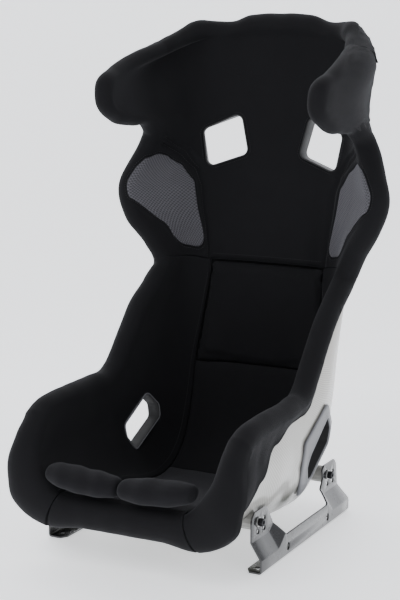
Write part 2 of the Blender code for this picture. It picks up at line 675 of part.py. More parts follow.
def bracket_section(y):
    """Closed outline (x, z) of the bent sheet at y: foot, web, joggle and ear."""
    low, high = joggle(y)
    lean = PLATE * math.tan(math.atan2(WEB_X - EAR_X, high - low) / 2)
    outer = [(FOOT_X, 0.0), (WEB_X, 0.0), (WEB_X, low), (EAR_X, high), (EAR_X, 0.11)]
    inner = [(EAR_X - PLATE, 0.11), (EAR_X - PLATE, high - lean), (WEB_X - PLATE, low - lean),
             (WEB_X - PLATE, PLATE), (FOOT_X, PLATE)]
    radii = (0.0004, 0.0050, 0.0055, 0.0030, 0.0004, 0.0004, 0.0055, 0.0030, 0.0022, 0.0004)
    return rounded(outer + inner, radii, 1)


def prism(name, outline, axis, low, high):
    """Guide solid: an outline extruded along x, y or z."""
    rings = [[np.insert(p, axis, level) for p in outline] for level in (low, high)]
    return ring_solid(name, rings, ZINC)


def holes(name, centres, radius, axis, low, high):
    """Guide solid: round drills with the given centres, in one mesh."""
    bm = bmesh.new()
    for centre in centres:
        rings = []
        for level in (low, high):
            ring = [np.insert(np.array(centre) + radius * np.array((math.cos(a), math.sin(a))),
                              axis, level)
                    for a in np.linspace(0, 2 * math.pi, 13)[:-1]]
            rings.append([bm.verts.new(p) for p in ring])
        for i in range(12):
            j = (i + 1) % 12
            bm.faces.new((rings[0][i], rings[0][j], rings[1][j], rings[1][i]))
        bm.faces.new(list(reversed(rings[0])))
        bm.faces.new(rings[1])
    return finish_object(name, bm, ZINC)


def make_brackets():
    """Side brackets of bent 3 mm sheet, each with a foot and two drilled ears."""
    stations = [BRACKET_Y[0], -0.150, -0.124, -0.115, -0.106, -0.097, -0.088, 0.083, 0.0905,
                0.098, 0.1055, 0.113, 0.150, BRACKET_Y[1]]
    side_view = [(-0.190, -0.002), (0.178, -0.002), (0.1875, 0.007), (0.1875, 0.022),
                 (0.173, 0.053), (0.167, 0.092), (0.158, 0.102), (0.112, 0.102),
                 (0.104, 0.095), (0.108, 0.080), (0.097, 0.062), (0.084, 0.039),
                 (-0.089, 0.039), (-0.107, 0.066), (-0.124, 0.092), (-0.134, 0.100),
                 (-0.176, 0.100), (-0.186, 0.090), (-0.190, 0.050)]
    plan_view = [(0.215, -0.20), (0.215, 0.20), (0.189, 0.20), (0.1725, 0.174),
                 (0.1725, -0.174), (0.189, -0.20)]
    ear = [(y + dy, BOLT_Z + dz) for y in BOLT_Y for dy in (0, 0.024) for dz in (0, -0.017)]
    for side, sign in (("left", 1), ("right", -1)):
        rings = [[(sign * x, y + SHIFT_Y, z) for x, z in bracket_section(y)]
                 for y in stations]
        plate = ring_solid("side_bracket_" + side, rings, BLACK_STEEL, smooth=35)
        across = sorted((sign * 0.15, sign * 0.23))
        outline = [p + np.array((SHIFT_Y, 0)) for p in rounded(side_view, 0.003, 1)]
        cut(plate, prism("side_view_" + side, outline, 0, *across), 'INTERSECT')
        outline = [p * np.array((sign, 1)) + np.array((0, SHIFT_Y))
                   for p in rounded(plan_view, 0.003, 2)]
        cut(plate, prism("plan_view_" + side, outline, 2, -0.01, 0.12), 'INTERSECT')
        drilled = [(y + SHIFT_Y, z) for y, z in ear]
        cut(plate, holes("ear_holes_" + side, drilled, 0.0046, 0, *across))
        lightened = [(y + SHIFT_Y, 0.0165) for y in (-0.082, 0.087)]
        cut(plate, holes("web_holes_" + side, lightened, 0.0060, 0, *across))
        floor = [(sign * 0.188, y + SHIFT_Y) for y in FOOT_HOLE_Y]
        cut(plate, holes("foot_holes_" + side, floor, 0.0042, 2, -0.01, 0.01))


def turned(name, centre, sign, profile, look, closed=False, socket=()):
    """Piece turned about an X axis from (x, radius) pairs; socket rings are hexagonal."""
    rings = []
    sides = 12 if closed else 18
    for i, (x, radius) in enumerate(profile):
        ring = []
        for k in range(sides):
            a = 2 * math.pi * k / sides
            r = radius
            if i in socket:
                r = radius / math.cos((a % (math.pi / 3)) - math.pi / 6)
            ring.append((sign * x, centre[0] + r * math.cos(a), centre[1] + r * math.sin(a)))
        rings.append(ring)
    return ring_solid(name, rings, look, closed=closed, smooth=40)


def make_fixings():
    """Side bolts, their washers, and the bosses and captive nuts that they screw into."""
    head = EAR_X + 0.0022
    core = {}
    for side, sign in (("left", 1), ("right", -1)):
        rows = [s for s in rows_between(0.0, SEAM_S) if s < 10]
        t_list = SIDE_T if sign > 0 else [-t for t in reversed(SIDE_T)]
        core[side] = patch("boss_core_" + side, rows, t_list, STEEL,
                           lambda s, t: -0.02, SHELL_OUT + 0.0006)
    for side, sign in (("left", 1), ("right", -1)):
        for place, y in zip(("front", "rear"), BOLT_Y):
            centre = (y + SHIFT_Y, BOLT_Z)
            label = place + "_" + side
            turned("side_bolt_" + label, centre, sign,
                   ((0.1765, 0.0030), (0.1775, 0.0039), (head, 0.0039), (head, 0.0063),
                    (head + 0.0004, 0.0067), (head + 0.0072, 0.0067), (head + 0.0080, 0.0059),
                    (head + 0.0080, 0.0031), (head + 0.0040, 0.0031)), ZINC, socket=(7, 8))
            turned("washer_" + label, centre, sign,
                   ((EAR_X + 0.0003, 0.0043), (EAR_X + 0.0003, 0.0085),
                    (EAR_X + 0.0019, 0.0085), (EAR_X + 0.0019, 0.0043)), STEEL, closed=True)
            boss = turned("boss_" + label, centre, sign,
                          ((0.137, 0.0088), (0.137, 0.0150), (0.1805, 0.0150),
                           (0.1826, 0.0135), (0.1826, 0.0088)), GELCOAT, closed=True)
            cut(boss, core[side])
            turned("captive_nut_" + label, centre, sign,
                   ((0.1762, 0.0043), (0.1762, 0.0084), (0.1822, 0.0084), (0.1822, 0.0043)),
                   STEEL, closed=True)


def main():
    for obj in list(bpy.data.objects):
        bpy.data.objects.remove(obj)
    shell = make_shell()
    upper, bolsters, lip = make_covers()
    lumbar, lower, seat_pad = make_pads()
    make_tapes()
    make_rolls()
    make_mesh_inserts(upper)
    make_shoulder_slots(shell, upper)
    make_lap_slots(shell, bolsters)
    make_crotch_slot(shell, seat_pad)
    make_brackets()
    make_fixings()


main()
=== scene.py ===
"""Looks of a winged bucket racing seat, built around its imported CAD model.

The seat's face is a surface with two parameters: s counts stations from the front lip (0)
over the pan and up the back to the top of the head (28), and t runs from the middle (0) to
the rims (-1 and 1). A depth is measured from the face into the seat.
"""
import math

import bmesh
import bpy
import numpy as np
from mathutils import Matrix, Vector


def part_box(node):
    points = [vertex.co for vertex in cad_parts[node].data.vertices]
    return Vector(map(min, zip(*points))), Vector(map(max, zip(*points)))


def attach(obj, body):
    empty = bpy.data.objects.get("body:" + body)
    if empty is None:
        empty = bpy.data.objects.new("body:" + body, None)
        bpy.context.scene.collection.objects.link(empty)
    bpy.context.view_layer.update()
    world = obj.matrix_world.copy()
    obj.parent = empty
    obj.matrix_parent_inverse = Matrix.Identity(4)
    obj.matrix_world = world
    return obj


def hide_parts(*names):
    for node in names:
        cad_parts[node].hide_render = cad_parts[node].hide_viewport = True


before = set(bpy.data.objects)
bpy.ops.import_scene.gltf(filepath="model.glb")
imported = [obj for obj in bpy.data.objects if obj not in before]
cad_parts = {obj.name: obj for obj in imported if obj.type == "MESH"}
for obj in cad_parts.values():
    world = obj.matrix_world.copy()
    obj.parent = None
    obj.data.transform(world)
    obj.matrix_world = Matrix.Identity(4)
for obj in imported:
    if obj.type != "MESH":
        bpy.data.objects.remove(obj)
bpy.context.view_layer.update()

# Driving values shared with the CAD model, in metres.
SHIFT_Y = -0.0130
SHELL_IN = 0.0180
SHELL_OUT = 0.0228
PAD_BACK = 0.0166
PAD_FREE = 0.0148
ROLL = 0.0205
LIP_ROLL = 0.0275
SKIRT_IN = 0.0256
PAD_T = 0.42
WAIST_S = 13.0
SEAM_S = 11.0
HIP_S = 6.6
LIP_S = 0.35
T_GAP = 0.0028
S_GAP = 0.008
SLOT_RADIUS = 0.012

# One row per station: centre line (y, z), end of the flat middle (x, y, z), middle of
# the side wall (x, y, z) and rim (x, y, z).
STATIONS = [
    ((-0.282, 0.119), (0.116, -0.284, 0.121), (0.156, -0.280, 0.165), (0.168, -0.238, 0.229)),
    ((-0.255, 0.122), (0.116, -0.257, 0.123), (0.158, -0.252, 0.168), (0.169, -0.220, 0.237)),
    ((-0.210, 0.113), (0.117, -0.210, 0.115), (0.160, -0.200, 0.170), (0.170, -0.188, 0.242)),
    ((-0.140, 0.098), (0.119, -0.140, 0.100), (0.163, -0.135, 0.165), (0.170, -0.130, 0.243)),
    ((-0.060, 0.078), (0.121, -0.060, 0.081), (0.166, -0.060, 0.158), (0.170, -0.065, 0.242)),
    ((0.025, 0.059), (0.122, 0.015, 0.063), (0.168, -0.002, 0.150), (0.168, -0.045, 0.242)),
    ((0.095, 0.049), (0.122, 0.078, 0.056), (0.169, 0.032, 0.150), (0.167, -0.012, 0.245)),
    ((0.150, 0.057), (0.122, 0.125, 0.068), (0.169, 0.062, 0.165), (0.166, 0.014, 0.259)),
    ((0.192, 0.085), (0.122, 0.160, 0.095), (0.168, 0.090, 0.193), (0.165, 0.036, 0.281)),
    ((0.216, 0.125), (0.123, 0.183, 0.134), (0.167, 0.113, 0.227), (0.165, 0.055, 0.303)),
    ((0.232, 0.175), (0.124, 0.200, 0.182), (0.165, 0.136, 0.262), (0.165, 0.075, 0.326)),
    ((0.245, 0.235), (0.125, 0.214, 0.240), (0.162, 0.160, 0.305), (0.165, 0.101, 0.355)),
    ((0.256, 0.330), (0.120, 0.240, 0.335), (0.156, 0.205, 0.370), (0.163, 0.152, 0.393)),
    ((0.268, 0.430), (0.115, 0.259, 0.430), (0.148, 0.238, 0.437), (0.168, 0.195, 0.440)),
    ((0.274, 0.480), (0.119, 0.264, 0.480), (0.159, 0.237, 0.480), (0.189, 0.187, 0.482)),
    ((0.279, 0.525), (0.125, 0.266, 0.525), (0.178, 0.221, 0.527), (0.222, 0.167, 0.530)),
    ((0.284, 0.570), (0.131, 0.268, 0.570), (0.188, 0.219, 0.570), (0.235, 0.169, 0.568)),
    ((0.288, 0.605), (0.138, 0.271, 0.603), (0.187, 0.227, 0.603), (0.223, 0.182, 0.602)),
    ((0.292, 0.640), (0.144, 0.274, 0.635), (0.181, 0.241, 0.635), (0.207, 0.200, 0.635)),
    ((0.296, 0.675), (0.148, 0.276, 0.662), (0.179, 0.241, 0.660), (0.196, 0.203, 0.662)),
    ((0.299, 0.700), (0.150, 0.276, 0.685), (0.181, 0.234, 0.684), (0.190, 0.177, 0.688)),
    ((0.302, 0.722), (0.152, 0.276, 0.703), (0.184, 0.209, 0.702), (0.188, 0.115, 0.704)),
    ((0.305, 0.745), (0.154, 0.276, 0.720), (0.188, 0.186, 0.720), (0.187, 0.055, 0.718)),
    ((0.308, 0.768), (0.155, 0.276, 0.743), (0.190, 0.177, 0.741), (0.186, 0.020, 0.742)),
    ((0.310, 0.790), (0.156, 0.276, 0.768), (0.193, 0.181, 0.762), (0.187, 0.022, 0.766)),
    ((0.311, 0.812), (0.157, 0.277, 0.792), (0.197, 0.191, 0.785), (0.190, 0.060, 0.780)),
    ((0.310, 0.833), (0.155, 0.279, 0.815), (0.197, 0.211, 0.803), (0.192, 0.110, 0.793)),
    ((0.307, 0.849), (0.145, 0.282, 0.836), (0.187, 0.238, 0.818), (0.191, 0.160, 0.803)),
    ((0.302, 0.859), (0.114, 0.293, 0.853), (0.158, 0.264, 0.835), (0.184, 0.204, 0.814)),
]
LAST = len(STATIONS) - 1
COLUMN_T = (0.0, 0.25, PAD_T, 0.70, 1.0)   # t of the columns of control points

# Openings, as corner points: shoulder slots (x, z), lap slot (y, z), crotch slot (x, y).
SHOULDER_SLOT = ((0.053, 0.631), (0.130, 0.604), (0.142, 0.673), (0.071, 0.705))
LAP_SLOT = ((0.041, 0.103), (0.127, 0.146), (0.128, 0.169), (0.100, 0.197),
            (0.021, 0.153), (0.019, 0.133))
LAP_BEZEL = ((0.032, 0.078), (0.146, 0.137), (0.146, 0.175), (0.099, 0.221),
             (-0.007, 0.173), (-0.010, 0.139))
CROTCH_SLOT = ((-0.034, -0.232), (0.034, -0.232), (0.034, -0.206), (-0.034, -0.206))
MESH_INSERT = ((0.50, 13.35), (0.79, 13.48), (0.85, 13.85), (0.84, 14.35), (0.93, 15.00),
               (1.03, 15.60), (1.045, 16.30), (1.04, 17.00), (1.02, 17.60), (0.96, 17.95),
               (0.80, 17.75), (0.60, 17.15), (0.50, 16.20))
# Folded seams of the upper cover, as (t, s) lines.
SHOULDER_SEAM = ((0.90, 18.55), (0.80, 18.35), (0.60, 17.75), (0.455, 16.9), (0.425, 16.0),
                 (0.435, 14.4), (0.445, 13.05))
NECK_SEAM = ((0.86, 18.95), (0.74, 18.6), (0.56, 17.95), (0.43, 17.0))


# ---------------------------------------------------------------- the seat's surface
def hermite(p0, p1, m0, m1, u):
    """Cubic between p0 and p1 with end tangents m0 and m1."""
    a = 2 * u**3 - 3 * u**2 + 1
    b = u**3 - 2 * u**2 + u
    c = 3 * u**2 - 2 * u**3
    d = u**3 - u**2
    return a * p0 + b * m0 + c * p1 + d * m1


def slopes(points):
    """Unit-speed tangents at the points of a polyline, and its chord lengths."""
    chords = [np.linalg.norm(q - p) for p, q in zip(points, points[1:])]
    steps = [(q - p) / c for p, q, c in zip(points, points[1:], chords)]
    tangents = [steps[0]]
    for i in range(1, len(points) - 1):
        weight = chords[i] / (chords[i - 1] + chords[i])
        tangents.append(steps[i - 1] * weight + steps[i] * (1 - weight))
    tangents.append(steps[-1])
    return tangents, chords


def column(points):
    """Curve through points, as a function of a real index."""
    points = [np.array(p, float) for p in points]
    tangents, chords = slopes(points)

    def at(u):
        i = min(max(int(math.floor(u)), 0), len(points) - 2)
        m0 = tangents[i] * chords[i]
        m1 = tangents[i + 1] * chords[i]
        return hermite(points[i], points[i + 1], m0, m1, u - i)
    return at


CENTRE = column([(0, p[0], p[1]) for p, c, w, r in STATIONS])
CORNER = column([c for p, c, w, r in STATIONS])
WALL = column([w for p, c, w, r in STATIONS])
RIM = column([r for p, c, w, r in STATIONS])


def smooth_step(x, points):
    """Like np.interp, but with a smooth step between the (x, value) pairs."""
    xs, vs = [np.array(v, float) for v in zip(*points)]
    x = np.clip(np.asarray(x, float), xs[0], xs[-1])
    k = np.clip(np.searchsorted(xs, x, side='right') - 1, 0, len(xs) - 2)
    u = (x - xs[k]) / (xs[k + 1] - xs[k])
    return vs[k] + (vs[k + 1] - vs[k]) * u * u * (3 - 2 * u)


GRID_S = np.linspace(0, LAST, LAST * 8 + 1)
GRID_T = np.linspace(-1, 1, 161)


def face_grid():
    """Points of the face on the (GRID_S, GRID_T) grid, and their normals."""
    half = GRID_T[80:]
    points = np.zeros((len(GRID_S), 161, 3))
    for i, s in enumerate(GRID_S):
        centre, corner, wall, rim = CENTRE(s), CORNER(s), WALL(s), RIM(s)
        flat = centre + (corner - centre) * np.array((0.6, 0.25, 0.25))
        row = column([flat * np.array((-1, 1, 1)), centre, flat, corner, wall, rim])
        for j, a in enumerate(half):
            k = max(q for q in range(len(COLUMN_T) - 1) if COLUMN_T[q] <= a or q == 0)
            p = row(1 + k + (a - COLUMN_T[k]) / (COLUMN_T[k + 1] - COLUMN_T[k]))
            points[i, 80 + j] = p
            points[i, 80 - j] = p * np.array((-1, 1, 1))
    points[:, 80, 0] = 0.0
    points[:, :, 1] += SHIFT_Y
    normals = np.cross(np.gradient(points, axis=0), np.gradient(points, axis=1))
    normals /= np.linalg.norm(normals, axis=2)[:, :, None]
    return points, normals


FACE, FACE_NORMAL = face_grid()


def look_up(table, s, t):
    """Values of a grid table at real (s, t), by bilinear interpolation."""
    u = np.clip(np.asarray(s, float), 0, LAST) * 8
    v = (np.clip(np.asarray(t, float), -1, 1) + 1) * 80
    i = np.minimum(u.astype(int), len(GRID_S) - 2)
    j = np.minimum(v.astype(int), 159)
    a = (u - i)[..., None]
    b = (v - j)[..., None]
    low = table[i, j] * (1 - b) + table[i, j + 1] * b
    high = table[i + 1, j] * (1 - b) + table[i + 1, j + 1] * b
    return low * (1 - a) + high * a


def face_point(s, t):
    """Points of the seat's face."""
    return look_up(FACE, s, t)


def face_normal(s, t):
    """Unit normals into the seat, held back from the face's pinched corners."""
    t = np.asarray(t, float)
    edge = smooth_step(np.abs(t), [(0.75, 0.0), (1.0, 0.5)])
    s = np.clip(s, 0.06 + edge, LAST - 0.06 - edge)
    limit = 0.985 - smooth_step(s, [(LAST - 1.2, 0.0), (LAST - 0.5, 0.06)])
    n = look_up(FACE_NORMAL, s, np.clip(t, -limit, limit))
    return n / np.linalg.norm(n, axis=-1)[..., None]


def bulk(s, t):
    """Extra foam between the face and the shell: a thick seat pad and square hips."""
    a = np.abs(t)
    middle = smooth_step(s, [(0.0, 0.0), (1.2, 0.024), (2.0, 0.027), (3.0, 0.021), (4.0, 0.013),
                             (5.0, 0.005), (6.0, 0.0)])
    side = smooth_step(s, [(0.0, 0.0), (1.2, 0.022), (2.0, 0.025), (3.2, 0.020), (4.5, 0.009),
                           (5.6, 0.002), (7.0, 0.0)])
    share = smooth_step(a, [(0.30, 0.0), (0.52, 1.0)])
    fade = smooth_step(a, [(0.60, 1.0), (0.92, 0.0)])
    return (middle + (side - middle) * share) * fade


def deep(s, t, n):
    """Points at depth n; behind the face itself the depth grows by the bulk of foam."""
    s, t, n = np.broadcast_arrays(*[np.asarray(v, float) for v in (s, t, n)])
    offset = n + np.where(n > 0.012, bulk(s, t), 0.0)
    return face_point(s, t) + face_normal(s, t) * offset[..., None]


def locate(target, axes, s, t):
    """(s, t) where the face's coordinates on two axes equal target, from a near guess."""
    for _ in range(14):
        p = face_point(s, t)[axes]
        jacobian = np.column_stack(((face_point(s + 0.05, t)[axes] - p) / 0.05,
                                    (face_point(s, t + 0.01)[axes] - p) / 0.01))
        ds, dt = np.linalg.solve(jacobian, np.array(target) - p)
        s += max(-1.0, min(1.0, ds))
        t += max(-0.1, min(0.1, dt))
    return s, t


# How many metres one unit of t or s spans, about, for distances on the fabric.
T_SPAN = 0.27
S_SPAN = 0.048


def line_distance(s, t, line, closed=False):
    """Distance in metres from (s, |t|) to a line of (t, s) points."""
    q = np.stack((np.abs(t) * T_SPAN, s * S_SPAN), axis=-1)
    points = [np.array((a * T_SPAN, b * S_SPAN)) for a, b in line]
    if closed:
        points.append(points[0])
    best = np.full(q.shape[:-1], 9.0)
    for a, b in zip(points, points[1:]):
        along = b - a
        u = np.clip(((q - a) @ along) / along.dot(along), 0, 1)
        best = np.minimum(best, np.linalg.norm(q - a - u[..., None] * along, axis=-1))
    return best


def inside(s, t, line):
    """Whether (s, |t|) lies inside a closed line of (t, s) points."""
    a = np.abs(t)
    hit = np.zeros(np.broadcast(s, t).shape, bool)
    for (t0, s0), (t1, s1) in zip(line, line[1:] + line[:1]):
        if s0 == s1:
            continue
        crossing = (s0 > s) != (s1 > s)
        at = t0 + (s - s0) / (s1 - s0) * (t1 - t0)
        hit ^= crossing & (a < at)
    return hit


def ripple(points, scale, seed=0.0):
    """Soft irregular waves between about -1 and 1 over the points."""
    total = np.zeros(points.shape[:-1])
    for k in range(6):
        angle = 2.4 * k + seed
        direction = np.array((math.cos(angle), math.sin(angle * 1.7), math.sin(angle)))
        total += np.sin(points @ direction * scale * (1 + 0.37 * k) + 1.9 * k + seed) / 3
    return total


def rounded(corners, radius, steps=4, grow=0.0):
    """Closed outline through corners, with an arc at each; grow pushes it outward.

    radius is one number or one for each corner.
    """
    radii = list(radius) if hasattr(radius, "__len__") else [radius] * len(corners)
    pts = [np.array(c, float) for c in corners]
    area = sum(a[0] * b[1] - b[0] * a[1] for a, b in zip(pts, pts[1:] + pts[:1]))
    if area < 0:
        pts.reverse()
        radii.reverse()
    out = []
    for i, p in enumerate(pts):
        before = pts[i - 1] - p
        after = pts[(i + 1) % len(pts)] - p
        before /= np.linalg.norm(before)
        after /= np.linalg.norm(after)
        turn = before[0] * after[1] - before[1] * after[0]
        convex = -1 if turn > 0 else 1
        half = math.acos(max(-1, min(1, before.dot(after)))) / 2
        middle = (before + after) / np.linalg.norm(before + after)
        centre = p + middle * radii[i] / math.sin(half)
        base = math.atan2(-middle[1], -middle[0])
        reach = max(radii[i] + convex * grow, 0.0)
        sweep = (math.pi / 2 - half) * convex
        for k in range(steps + 1):
            angle = base + sweep * (2 * k / steps - 1)
            out.append(centre + reach * np.array((math.cos(angle), math.sin(angle))))
    return out


# ---------------------------------------------------------------- mesh helpers
def new_object(name, verts, faces, mat, smooth=180, uv=None, shade_lining=None, shade_lined=0):
    """Object from vertices and faces turned outward; the first faces, as many as the count given,
    get the second material, the near-black liner that paints shade.
    """
    mesh = bpy.data.meshes.new(name)
    mesh.from_pydata([tuple(v) for v in verts], [], faces)
    if shade_lining:
        mesh.polygons.foreach_set("material_index", [int(k < shade_lined) for k in range(len(faces))])
    if uv is not None:
        layer = mesh.uv_layers.new(name="fabric")
        corner = np.zeros(len(mesh.loops), int)
        mesh.loops.foreach_get("vertex_index", corner)
        layer.data.foreach_set("uv", np.asarray(uv)[corner].ravel())
    bm = bmesh.new()
    bm.from_mesh(mesh)
    bmesh.ops.remove_doubles(bm, verts=bm.verts, dist=0.00002)
    bmesh.ops.recalc_face_normals(bm, faces=bm.faces)
    bm.to_mesh(mesh)
    bm.free()
    mesh.shade_smooth()
    if smooth < 180:
        mesh.set_sharp_from_angle(angle=math.radians(smooth))
    obj = bpy.data.objects.new(name, mesh)
    bpy.context.scene.collection.objects.link(obj)
    obj.data.materials.append(mat)
    if shade_lining:
        obj.data.materials.append(shade_lining)
    return obj


def grid_quads(rows, cols, start=0, wrap=False):
    """Quads over a rows x cols block of vertices numbered row by row."""
    faces = []
    last = cols if wrap else cols - 1
    for i in range(rows - 1):
        for j in range(last):
            k = (j + 1) % cols
            faces.append((start + i * cols + j, start + i * cols + k,
                          start + (i + 1) * cols + k, start + (i + 1) * cols + j))
    return faces


def loft(name, rings, mat, closed=False, smooth=40):
    """Solid through a list of equal closed rings; the ends are capped unless closed."""
    rings = [list(r) for r in rings]
    count = len(rings[0])
    verts = [p for ring in rings for p in ring]
    faces = grid_quads(len(rings), count, wrap=True)
    if closed:
        base = (len(rings) - 1) * count
        for j in range(count):
            k = (j + 1) % count
            faces.append((base + j, base + k, k, j))
    else:
        faces.append(tuple(reversed(range(count))))
        faces.append(tuple(range((len(rings) - 1) * count, len(rings) * count)))
    return new_object(name, verts, faces, mat, smooth)


def tube(name, line, radius, mat, sides=8, closed=False):
    """Round cord through the points of a line."""
    line = np.asarray(line, float)
    if closed:
        ahead = np.roll(line, -1, axis=0) - np.roll(line, 1, axis=0)
    else:
        ahead = np.gradient(line, axis=0)
    ahead /= np.linalg.norm(ahead, axis=1)[:, None]
    side = np.cross(ahead[0], (0.3, 0.5, 0.8))
    rings = []
    for p, d in zip(line, ahead):
        side = side - d * side.dot(d)
        side /= np.linalg.norm(side)
        up = np.cross(d, side)
        angles = np.linspace(0, 2 * math.pi, sides, endpoint=False)
        rings.append([p + radius * (side * math.cos(a) + up * math.sin(a)) for a in angles])
    return loft(name, rings, mat, closed=closed, smooth=60)


def spaced(line, pitch):
    """Points along a line at an even pitch."""
    line = np.asarray(line, float)
    steps = np.linalg.norm(np.diff(line, axis=0), axis=1)
    run = np.concatenate(([0], np.cumsum(steps)))
    count = max(2, int(run[-1] / pitch))
    at = np.linspace(0, run[-1], count)
    return np.stack([np.interp(at, run, line[:, k]) for k in range(line.shape[1])], axis=1)


def stitches(name, line, mat, pitch=0.0042, length=0.0028, radius=0.00045):
    """Row of sewn stitches along a line, as one mesh of small spindles."""
    centres = spaced(line, pitch)
    ahead = np.gradient(centres, axis=0)
    ahead /= np.linalg.norm(ahead, axis=1)[:, None]
    shape = ((-0.5, 0.25), (-0.3, 0.9), (0.0, 1.0), (0.3, 0.9), (0.5, 0.25))
    verts = []
    faces = []
    for c, d in zip(centres, ahead):
        side = np.cross(d, (0.35, 0.2, 0.9))
        side /= np.linalg.norm(side)
        up = np.cross(d, side)
        start = len(verts)
        for along, fat in shape:
            for k in range(5):
                a = 2 * math.pi * k / 5
                verts.append(c + d * along * length
                             + radius * fat * (side * math.cos(a) + up * math.sin(a)))
        faces += grid_quads(5, 5, start, wrap=True)
        faces.append(tuple(range(start, start + 5)))
        faces.append(tuple(range(start + 20, start + 25)))
    return new_object(name, verts, faces, mat, 60)


def cut(obj, cutter, operation='DIFFERENCE'):
    """Apply a Boolean with the cutter, which is then removed."""
    mod = obj.modifiers.new("cut", 'BOOLEAN')
    mod.operation = operation
    mod.solver = 'EXACT'
    mod.object = cutter
    bake(obj)
    bpy.data.objects.remove(cutter)


def bake(obj):
    """Replace the object's mesh by its evaluated one, without modifiers."""
    graph = bpy.context.evaluated_depsgraph_get()
    graph.update()
    mesh = bpy.data.meshes.new_from_object(obj.evaluated_get(graph))
    obj.modifiers.clear()
    obj.data = mesh


def bevel(obj, width, segments=2, angle=40):
    """Round the sharp edges of an object."""
    mod = obj.modifiers.new("bevel", 'BEVEL')
    mod.width = width
    mod.segments = segments
    mod.limit_method = 'ANGLE'
    mod.angle_limit = math.radians(angle)
    mod.harden_normals = False
    bake(obj)
    obj.data.shade_smooth()
    obj.data.set_sharp_from_angle(angle=math.radians(50))


# ---------------------------------------------------------------- materials
class Nodes:
    """Short ways to add shader nodes to a new material."""

    def __init__(self, name):
        self.mat = bpy.data.materials.new(name)
        self.mat.use_nodes = True
        self.tree = self.mat.node_tree
        self.shader = self.tree.nodes["Principled BSDF"]
        self.place = self.tree.nodes.new("ShaderNodeTexCoord").outputs["Object"]

    def add(self, kind, **inputs):
        node = self.tree.nodes.new(kind)
        for key, value in inputs.items():
            socket = node.inputs[key.replace("_", " ")]
            if isinstance(value, bpy.types.NodeSocket):
                self.tree.links.new(value, socket)
            else:
                socket.default_value = value
        return node

    def math(self, operation, a, b=0.0):
        node = self.tree.nodes.new("ShaderNodeMath")
        node.operation = operation
        for socket, value in zip(node.inputs, (a, b)):
            if isinstance(value, bpy.types.NodeSocket):
                self.tree.links.new(value, socket)
            else:
                socket.default_value = value
        return node.outputs[0]

    def noise(self, scale, detail=3.0, roughness=0.5):
        return self.add("ShaderNodeTexNoise", Vector=self.place, Scale=scale, Detail=detail,
                        Roughness=roughness).outputs["Fac"]

    def ramp(self, fac, low, high, start=0.0, end=1.0):
        node = self.add("ShaderNodeValToRGB", Fac=fac)
        node.color_ramp.elements[0].position = start
        node.color_ramp.elements[0].color = (*low, 1)
        node.color_ramp.elements[1].position = end
        node.color_ramp.elements[1].color = (*high, 1)
        return node.outputs["Color"]

    def mix(self, fac, a, b, mode='MIX'):
        node = self.tree.nodes.new("ShaderNodeMix")
        node.data_type = 'RGBA'
        node.blend_type = mode
        for index, value in ((0, fac), (6, a), (7, b)):
            if isinstance(value, bpy.types.NodeSocket):
                self.tree.links.new(value, node.inputs[index])
            else:
                node.inputs[index].default_value = value if index == 0 else (*value, 1)
        return node.outputs[2]

    def bump(self, height, distance, strength=1.0):
        node = self.add("ShaderNodeBump", Height=height, Distance=distance, Strength=strength)
        self.tree.links.new(node.outputs["Normal"], self.shader.inputs["Normal"])

    def put(self, **inputs):
        for key, value in inputs.items():
            socket = self.shader.inputs[key.replace("_", " ")]
            if isinstance(value, bpy.types.NodeSocket):
                self.tree.links.new(value, socket)
            else:
                socket.default_value = value
        return self


def velour(name, tint=(0.0055, 0.0055, 0.0064), sheen=0.10):
    """Short-pile velour: fine grain, faint cloudiness and a soft sheen."""
    n = Nodes(name)
    grain = n.noise(1500, 3, 0.7)
    cloud = n.noise(28, 3, 0.55)
    lint = n.noise(420, 2, 0.6)
    colour = n.ramp(grain, [c * 0.45 for c in tint], [c * 1.7 for c in tint], 0.3, 0.72)
    colour = n.mix(n.math('MULTIPLY', cloud, 0.55), colour, [c * 1.5 for c in tint])
    n.put(Base_Color=colour, Roughness=0.92, Sheen_Weight=sheen, Sheen_Roughness=0.42,
          Sheen_Tint=(0.62, 0.62, 0.66, 1), Specular_IOR_Level=0.16)
    height = n.math('ADD', n.math('MULTIPLY', grain, 0.7), n.math('MULTIPLY', lint, 0.5))
    n.bump(height, 0.0006, 0.55)
    return n.mat


def spacer_mesh():
    """Perforated spacer mesh: staggered cells, light yarn around dark holes."""
    n = Nodes("spacer_mesh")
    uv = n.add("ShaderNodeUVMap")
    uv.uv_map = "fabric"
    split = n.add("ShaderNodeSeparateXYZ", Vector=uv.outputs["UV"])
    u, v = split.outputs["X"], split.outputs["Y"]
    pitch_u, pitch_v = 0.0080, 0.0066
    cell = n.math('MULTIPLY', n.math('SINE', n.math('MULTIPLY', u, 2 * math.pi / pitch_u)),
                  n.math('SINE', n.math('MULTIPLY', v, 2 * math.pi / pitch_v)))
    yarn = n.noise(2600, 2, 0.6)
    hole = n.math('ADD', n.math('MULTIPLY', cell, 0.5), 0.5)
    colour = n.ramp(hole, (0.012, 0.012, 0.015), (0.085, 0.083, 0.096), 0.30, 0.62)
    colour = n.mix(n.math('MULTIPLY', yarn, 0.5), colour, (0.045, 0.043, 0.052))
    n.put(Base_Color=colour, Roughness=0.75, Sheen_Weight=0.25, Sheen_Roughness=0.5,
          Sheen_Tint=(0.7, 0.7, 0.75, 1))
    n.bump(n.math('ADD', hole, n.math('MULTIPLY', yarn, 0.25)), 0.0009, 0.9)
    return n.mat


